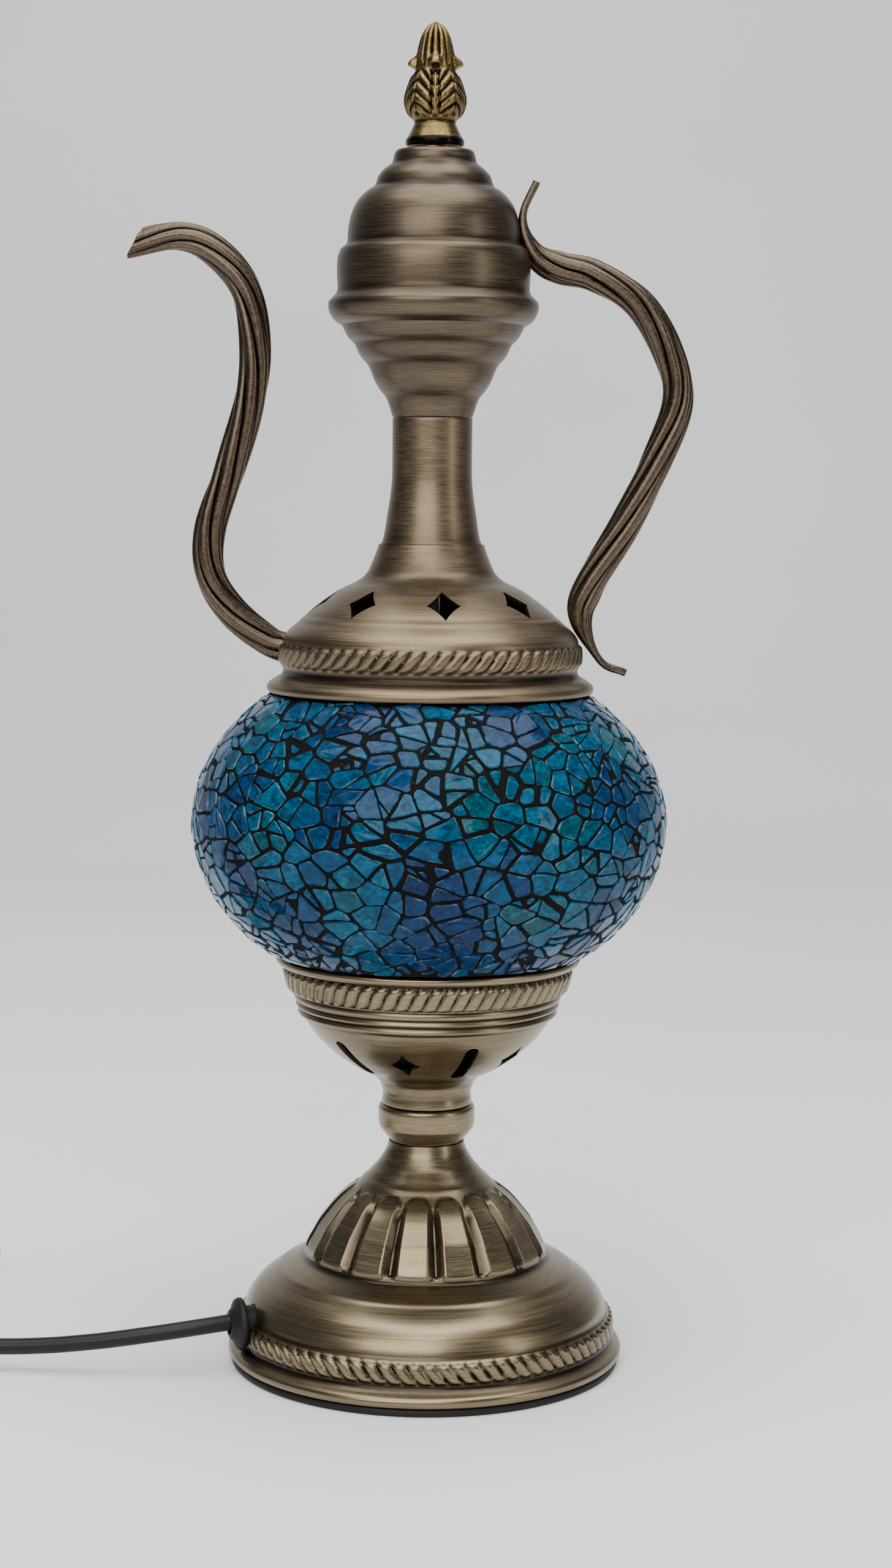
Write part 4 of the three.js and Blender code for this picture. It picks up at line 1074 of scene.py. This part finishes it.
def breakCell(cell, target):
    # Cracks a cell across, roughly over its long way, until its pieces are small enough.
    if len(cell) < 3 or cellArea(cell) < target:
        return [cell] if len(cell) > 2 else []
    centre = sum(cell, Vector((0, 0, 0))) / len(cell)
    longest = max(cell, key=lambda p: (onGlobe(p) - onGlobe(centre)).length)
    across = (longest - centre).normalized()
    swing = Matrix.Rotation(chance.gauss(0, 0.45), 3, centre)
    normal = (swing @ across).normalized()
    spot = centre + (longest - centre) * chance.uniform(-0.28, 0.28)
    normal = (normal - spot.normalized() * normal.dot(spot.normalized())).normalized()
    parts = []
    for sign in (1, -1):
        part = clipCell(cell, sign * normal, 0)
        smaller = target * chance.choice((0.5, 0.9, 1.2, 2.0))
        parts += breakCell([p.normalized() for p in part], smaller)
    return parts


def shrinkCell(cell, gap):
    centre = sum(cell, Vector((0, 0, 0))) / len(cell)
    size = globe["radius"] * 0.9
    trimmed = cell
    for i, point in enumerate(cell):
        inward = point.cross(cell[(i + 1) % len(cell)]).normalized()
        if inward.dot(centre) < 0:
            inward = -inward
        trimmed = clipCell(trimmed, inward, gap / size * chance.uniform(0.5, 1.5))
        if len(trimmed) < 3:
            return []
    return [p.normalized() for p in trimmed]


def roundCell(cell, length):
    # Trims each corner a little and adds points so that long edges can bend.
    points = []
    for i, point in enumerate(cell):
        before, after = cell[i - 1], cell[(i + 1) % len(cell)]
        for other in (before, after):
            reach = (onGlobe(other) - onGlobe(point)).length
            points.append(point.lerp(other, min(0.3, length / max(reach, 1e-6))))
    dense = []
    for i, point in enumerate(points):
        after = points[(i + 1) % len(points)]
        pieces = max(1, int((onGlobe(after) - onGlobe(point)).length / 1.6))
        dense += [point.lerp(after, k / pieces) for k in range(pieces)]
    return dense


def bendPoint(point):
    spot = onGlobe(point)
    drift = noise.noise_vector(spot / globe["bendScale"]) * globe["bend"]
    moved = spot + drift
    return Vector((moved.x / globe["radius"], moved.y / globe["radius"], moved.z / globe["halfHeight"])).normalized()


def shardMesh(cell, store):
    points = [bendPoint(p) for p in cell]
    centre = sum(points, Vector((0, 0, 0))).normalized()
    middle, normal = onGlobe(centre), globeNormal(centre)
    side = normal.orthogonal().normalized()
    other = normal.cross(side)
    slopeA, slopeB = chance.gauss(0, 0.034), chance.gauss(0, 0.034)
    lift = chance.uniform(-0.35, 0.0)
    radius = sum((onGlobe(p) - middle).length for p in points) / len(points)
    rings = ((0.0, globe["thickness"], 1.0), (0.0, globe["bevel"] * 1.3, 1.0), (globe["bevel"], 0.0, 0.8),
             (min(0.9, radius * 0.4), 0.0, 0.0))
    start = len(store["verts"])
    patch = 0.5 + 0.75 * noise.noise(middle / 26) + chance.gauss(0, 0.09)
    for inset, drop, rim in rings:
        for point in points:
            spot = onGlobe(point)
            away = spot - middle
            reach = max(away.length, 1e-6)
            spot = middle + away * max(0.15, 1 - inset / reach)
            flat = spot - middle
            slope = slopeA * flat.dot(side) + slopeB * flat.dot(other)
            spot = spot + normal * (slope + lift - drop)
            store["verts"].append(spot * mm)
            store["rim"].append(rim)
            store["shade"].append(min(max(patch, 0), 1))
    count = len(points)
    for level in range(len(rings) - 1):
        low, high = start + level * count, start + (level + 1) * count
        for i in range(count):
            k = (i + 1) % count
            store["faces"].append((low + i, low + k, high + k, high + i))
    last = start + (len(rings) - 1) * count
    store["faces"].append(tuple(range(last, last + count)))


def buildMosaic():
    store = {"verts": [], "faces": [], "rim": [], "shade": []}
    limit = globe["mouthHeight"] / globe["halfHeight"]
    shards = 0
    for cell in voronoiCells(spreadSeeds(globe["cells"])):
        for part in breakCell(cell, globe["largest"]):
            for normal in (Vector((0, 0, 1)), Vector((0, 0, -1))):
                part = clipCell(part, normal, -limit)
            if len(part) < 3:
                continue
            part = [p.normalized() for p in part]
            part = shrinkCell(part, chance.uniform(*globe["gap"]) * chance.choice((0.7, 1.0, 1.0, 1.6)))
            if len(part) < 3 or cellArea(part) < 1.2:
                continue
            shardMesh(roundCell(part, chance.uniform(0.3, 0.9)), store)
            shards += 1
    middle = (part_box("mosaic_skin")[0][2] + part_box("mosaic_skin")[1][2]) / 2
    verts = [v + Vector((0, 0, middle)) for v in store["verts"]]
    piece = makePiece("glassShards", verts, store["faces"], crackleGlass(), smooth=False,
                      attributes={"rim": store["rim"], "shade": store["shade"]})
    print("mosaic of", shards, "shards")
    return piece, middle / mm


def globeBand(inset, wall, segments, rows, name, material, middle, roughness=0.0):
    line = []
    for depth, order in ((inset, 1), (inset + wall, -1)):
        wide, tall = globe["radius"] - depth, globe["halfHeight"] - depth
        limit = math.asin((globe["mouthHeight"] + 0.4) / globe["halfHeight"])
        for i in range(rows + 1):
            angle = order * (-limit + 2 * limit * i / rows)
            line.append((wide * math.cos(angle), tall * math.sin(angle)))
    half = rows + 1

    def grit(angle, row):
        spot = np.sin(angle * 41 + row * 1.7) * np.sin(angle * 67 - row * 0.9) * np.sin(row * 2.3 + angle * 23)
        return roughness * spot * (row < half)

    return revolve(name, np.array(line), segments, material, grit if roughness else None, True, middle)


glassShards, globeMiddle = buildMosaic()
place(glassShards, "globe", "mosaic_skin", "mosaic_glass")
groutShell = globeBand(globe["groutInset"], globe["skin"] - globe["groutInset"], 360, 120, "groutShell",
                       blackGrout(), globeMiddle, 0.12)
place(groutShell, "globe", "mosaic_skin", "mosaic_glass")
globeShell = globeBand(globe["glassInset"], globe["glassWall"], 96, 40, "globeShell", glass["globe"], globeMiddle)
place(sharpenEdges(globeShell), "globe", "globe_glass", "globe_glass")
print("globe ready")


# ---- bulb ----

bulb = {"radius": 22.5, "neck": 6.9, "wall": 0.8, "capTop": 148.6, "top": 202.6}


def buildBulb():
    centre = bulb["top"] - bulb["radius"]
    start = math.asin(bulb["neck"] / bulb["radius"])
    outer = [(bulb["neck"], bulb["capTop"] + 0.3), (bulb["neck"], centre - bulb["radius"] * math.cos(start) - 2)]
    for i in range(33):
        angle = start + 0.12 + (math.pi - start - 0.12) * i / 32
        outer.append((max(bulb["radius"] * math.sin(angle), 0.02), centre - bulb["radius"] * math.cos(angle)))
    outer = np.array(outer)
    inner = outer.copy()
    inner[:, 0] = np.maximum(inner[:, 0] - bulb["wall"], 0.02)
    inner[-8:, 1] -= bulb["wall"]
    line = np.vstack([outer, inner[::-1]])
    shell = revolve("bulbGlass", line, 72, glass["bulb"])
    place(shell, "bulb", "bulb_glass", "bulb_glass")

    low = bottomOf("bulb_cap")
    cap = [(0.02, low), (4.0, low), (4.6, low + 1.2), (6.3, low + 3.2)]
    for i in range(29):
        height = low + 3.6 + 16 * i / 28
        cap.append((6.55 + 0.35 * math.sin(i * math.pi / 2), height))
    cap += [(6.9, low + 20.5), (6.9, bulb["capTop"]), (0.02, bulb["capTop"])]
    place(sharpenEdges(revolve("bulbCap", np.array(cap), 64, plain["turnedBrass"])), "bulb", "bulb_cap",
          "contact_brass")


buildBulb()


# ---- feet, grommet and plain parts ----

pad = [(0.02, 0.0), (65.4, 0.0), (66.1, 0.5), (66.2, 1.2), (66.1, 2.1), (65.7, 2.5), (0.02, 2.5)]
place(sharpenEdges(revolve("basePad", np.array(pad), 160, plain["blackRubber"]), 50), "root", "base_pad",
      "foot_rubber")

grommet = {"bearing": 198, "height": 16.5, "line": [
    (3.4, 54.2), (6.8, 54.4), (7.0, 55.0), (6.8, 55.8), (6.0, 56.0), (6.0, 63.6), (8.3, 64.1), (8.75, 64.5),
    (8.8, 65.4), (8.3, 66.5), (7.0, 67.2), (5.6, 67.6), (4.9, 68.6), (4.2, 69.0), (3.4, 69.0), (3.3, 68.6)]}


def buildGrommet():
    piece = revolve("cableGrommet", np.array(grommet["line"]), 64, plain["blackRubber"])
    turn = Matrix.Rotation(math.radians(grommet["bearing"]), 4, "Z") @ Matrix.Rotation(math.radians(90), 4, "Y")
    piece.data.transform(Matrix.Translation(Vector((0, 0, grommet["height"])) * mm) @ turn)
    place(sharpenEdges(piece, 50), "root", "cable_grommet", "foot_rubber")


buildGrommet()

keepers = {
    "base_washer": "zincPlatedSteel", "base_nut": "zincPlatedSteel", "lamp_pipe": "zincPlatedSteel",
    "cup_washer": "zincPlatedSteel", "cup_nut": "zincPlatedSteel", "harp": "zincPlatedSteel",
    "stud_rod": "zincPlatedSteel", "stud_nut": "zincPlatedSteel", "rocker_pin": "zincPlatedSteel",
    "ballast_ring": "castIron", "holder_cap": "mouldedBlackPlastic", "holder_sleeve": "mouldedBlackPlastic",
    "holder_insert": "mouldedBlackPlastic", "holder_thread": "turnedBrass", "holder_contact": "turnedBrass",
    "bulb_tip": "turnedBrass", "switch_contact_in": "turnedBrass", "switch_contact_out": "turnedBrass",
    "cord_inner": "cordVinyl", "plug_pin_near": "nickelPlatedBrass", "plug_pin_far": "nickelPlatedBrass",
}
for node, material in keepers.items():
    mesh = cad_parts[node].data
    mesh.materials.clear()
    mesh.materials.append(plain[material])
print("plain parts ready")


# ---- switch, plug and tie ----

def slab(name, outline, rings, material, sharp=50):
    # Stacks the outline at each (inset, height), so edges can be rounded.
    shape = np.array(outline, dtype=float)
    before, after = np.roll(shape, 1, axis=0), np.roll(shape, -1, axis=0)
    tangent = after - before
    tangent /= np.linalg.norm(tangent, axis=1)[:, None]
    inward = np.column_stack([-tangent[:, 1], tangent[:, 0]])
    count = len(shape)
    verts = []
    for inset, height in rings:
        moved = shape + inward * inset
        verts += [(x * mm, y * mm, height * mm) for x, y in moved]
    faces = [tuple(range(count))[::-1], tuple(range((len(rings) - 1) * count, len(rings) * count))]
    for level in range(len(rings) - 1):
        for i in range(count):
            k = (i + 1) % count
            faces.append((level * count + i, level * count + k, (level + 1) * count + k, (level + 1) * count + i))
    return sharpenEdges(makePiece(name, verts, faces, material), sharp)


def roundedOutline(corners, radius, steps=6):
    # Rounds the corners of a polygon that runs anticlockwise.
    points = []
    for i, corner in enumerate(corners):
        corner = Vector(corner)
        before = (Vector(corners[i - 1]) - corner).normalized()
        after = (Vector(corners[(i + 1) % len(corners)]) - corner).normalized()
        start, end = corner + before * radius, corner + after * radius
        for k in range(steps + 1):
            t = k / steps
            points.append(tuple(start * (1 - t) ** 2 + corner * 2 * t * (1 - t) + end * t ** 2))
    return points


def edgeRings(low, high, radius):
    rings = [(radius * (1 - math.sin(a)), low + radius * (1 - math.cos(a))) for a in (0, 0.5, 1.0, math.pi / 2)]
    return rings + [(inset, low + high - height) for inset, height in rings[::-1]]


def buildSwitch():
    low, high = (np.array(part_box("switch_cover")) / mm)
    baseLow, baseHigh = (np.array(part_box("switch_base")) / mm)
    corners = [(low[0], low[1] + 5), (low[0] + 8, low[1]), (high[0] - 8, low[1]), (high[0], low[1] + 5),
               (high[0], high[1] - 5), (high[0] - 8, high[1]), (low[0] + 8, high[1]), (low[0], high[1] - 5)]
    outline = roundedOutline(corners, 2.4)
    lower = slab("switchBase", outline, [(1.4, baseLow[2]), (0.5, baseLow[2] + 0.5), (0.0, baseLow[2] + 1.6),
                                         (0.0, baseHigh[2])], plain["mouldedBlackPlastic"])
    upper = slab("switchCover", outline, [(0.0, low[2]), (0.0, high[2] - 2.4), (0.5, high[2] - 0.9),
                                          (1.3, high[2] - 0.2), (2.2, high[2])], plain["mouldedBlackPlastic"])
    centre = ((low[0] + high[0]) / 2, (low[1] + high[1]) / 2)
    hollowOut = [(low[0] + 3, low[1] + 6), (high[0] - 3, low[1] + 6), (high[0] - 3, high[1] - 6),
                 (low[0] + 3, high[1] - 6)]
    for piece, bottom, top in ((lower, baseLow[2] + 2, baseHigh[2] + 4), (upper, low[2] - 4, high[2] - 2)):
        cutWith(piece, [slab("room", hollowOut, [(0, bottom), (0, top)], plain["cordVinyl"])])
    window = [(centre[0] - 10.5, centre[1] - 5.4), (centre[0] + 10.5, centre[1] - 5.4),
              (centre[0] + 10.5, centre[1] + 5.4), (centre[0] - 10.5, centre[1] + 5.4)]
    cutWith(upper, [slab("window", roundedOutline(window, 1.0), [(0, high[2] - 6), (0, high[2] + 4)],
                         plain["cordVinyl"])])
    wayThrough = [(-31 - 4, 0), (31 + 4, 0)]
    for piece in (lower, upper):
        way = revolve("way", np.array([(0.02, wayThrough[0][0]), (3.0, wayThrough[0][0]), (3.0, wayThrough[1][0]),
                                       (0.02, wayThrough[1][0])]), 24, plain["cordVinyl"])
        way.data.transform(Matrix.Translation(Vector((centre[0], centre[1], 8.6)) * mm)
                           @ Matrix.Rotation(math.radians(90), 4, "Y"))
        cutWith(piece, [way])
    place(sharpenEdges(lower), "root", "switch_base", "switch_plastic")
    place(sharpenEdges(upper), "root", "switch_cover", "switch_plastic")
    return lower, upper


def buildRocker():
    profile = [(-10.0, 1.2), (-8.6, -1.6), (-3.0, -3.3), (3.0, -3.3), (8.6, -1.6), (10.0, 1.2), (9.7, 4.2),
               (5.0, 3.6), (0.0, 3.2), (-5.0, 3.6), (-9.7, 4.2)]
    piece = slab("switchRocker", roundedOutline(profile, 0.5, 3), edgeRings(-5, 5, 0.5),
                 plain["mouldedBlackPlastic"])
    turn = Matrix.Rotation(math.radians(-8), 4, "Y") @ Matrix.Rotation(math.radians(90), 4, "X")
    piece.data.transform(Matrix.Translation(Vector((-214, -19, 13.6)) * mm) @ turn)
    place(piece, "rocker", "switch_rocker", "switch_plastic")
    return piece


def buildPlug():
    low, high = (np.array(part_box("plug_body")) / mm)
    middle, start = (low[1] + high[1]) / 2, low[0] + 21
    corners = [(start, middle - 7.5), (high[0] - 12, low[1]), (high[0], low[1]), (high[0], high[1]),
               (high[0] - 12, high[1]), (start, middle + 7.5)]
    body = slab("plugBody", roundedOutline(corners, 2.6), edgeRings(low[2], high[2], 2.2), plain["blackRubber"])
    ribs = [(2.8, 0), (3.4, 0), (3.9, 0.6)]
    for i in range(7):
        wide = 4.1 + 0.28 * i
        ribs += [(wide, 1.2 + 2.9 * i), (wide, 2.9 + 2.9 * i), (wide - 0.9, 3.1 + 2.9 * i),
                 (wide - 0.9, 3.9 + 2.9 * i)]
    ribs += [(6.0, 22.0), (6.0, 24.0), (2.8, 24.0)]
    relief = revolve("plugRelief", np.array(ribs), 48, plain["blackRubber"])
    relief.data.transform(Matrix.Translation(Vector((low[0], middle, (low[2] + high[2]) / 2)) * mm)
                          @ Matrix.Rotation(math.radians(90), 4, "Y"))
    whole = joinPieces([body, sharpenEdges(relief)], "plugBody")
    return place(whole, "root", "plug_body", "plug_pvc")


def buildTie():
    low, high = (np.array(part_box("cord_tie")) / mm)
    outer = roundedOutline([(low[0], low[2]), (high[0], low[2]), (high[0], high[2]), (low[0], high[2])], 4.0, 8)
    middle = (low[1] + high[1]) / 2
    half = (high[1] - low[1]) / 2
    centreX, centreZ = (low[0] + high[0]) / 2, (low[2] + high[2]) / 2
    count = len(outer)
    verts = []
    for y, thick in ((-half, 0.0), (half, 0.0), (half, 0.9), (-half, 0.9)):
        for x, z in outer:
            away = Vector((x - centreX, z - centreZ))
            away -= away.normalized() * thick
            verts.append(((centreX + away.x) * mm, (middle + y) * mm, (centreZ + away.y) * mm))
    faces = []
    for level in range(4):
        after = (level + 1) % 4
        for i in range(count):
            k = (i + 1) % count
            faces.append((level * count + i, level * count + k, after * count + k, after * count + i))
    strap = makePiece("cordTie", verts, faces, plain["wovenTie"])
    return place(sharpenEdges(strap), "root", "cord_tie", "cord_tie")


switchBase, switchCover = buildSwitch()
switchRocker = buildRocker()
plugBody = buildPlug()
cordTie = buildTie()
print("switch, plug and tie ready")
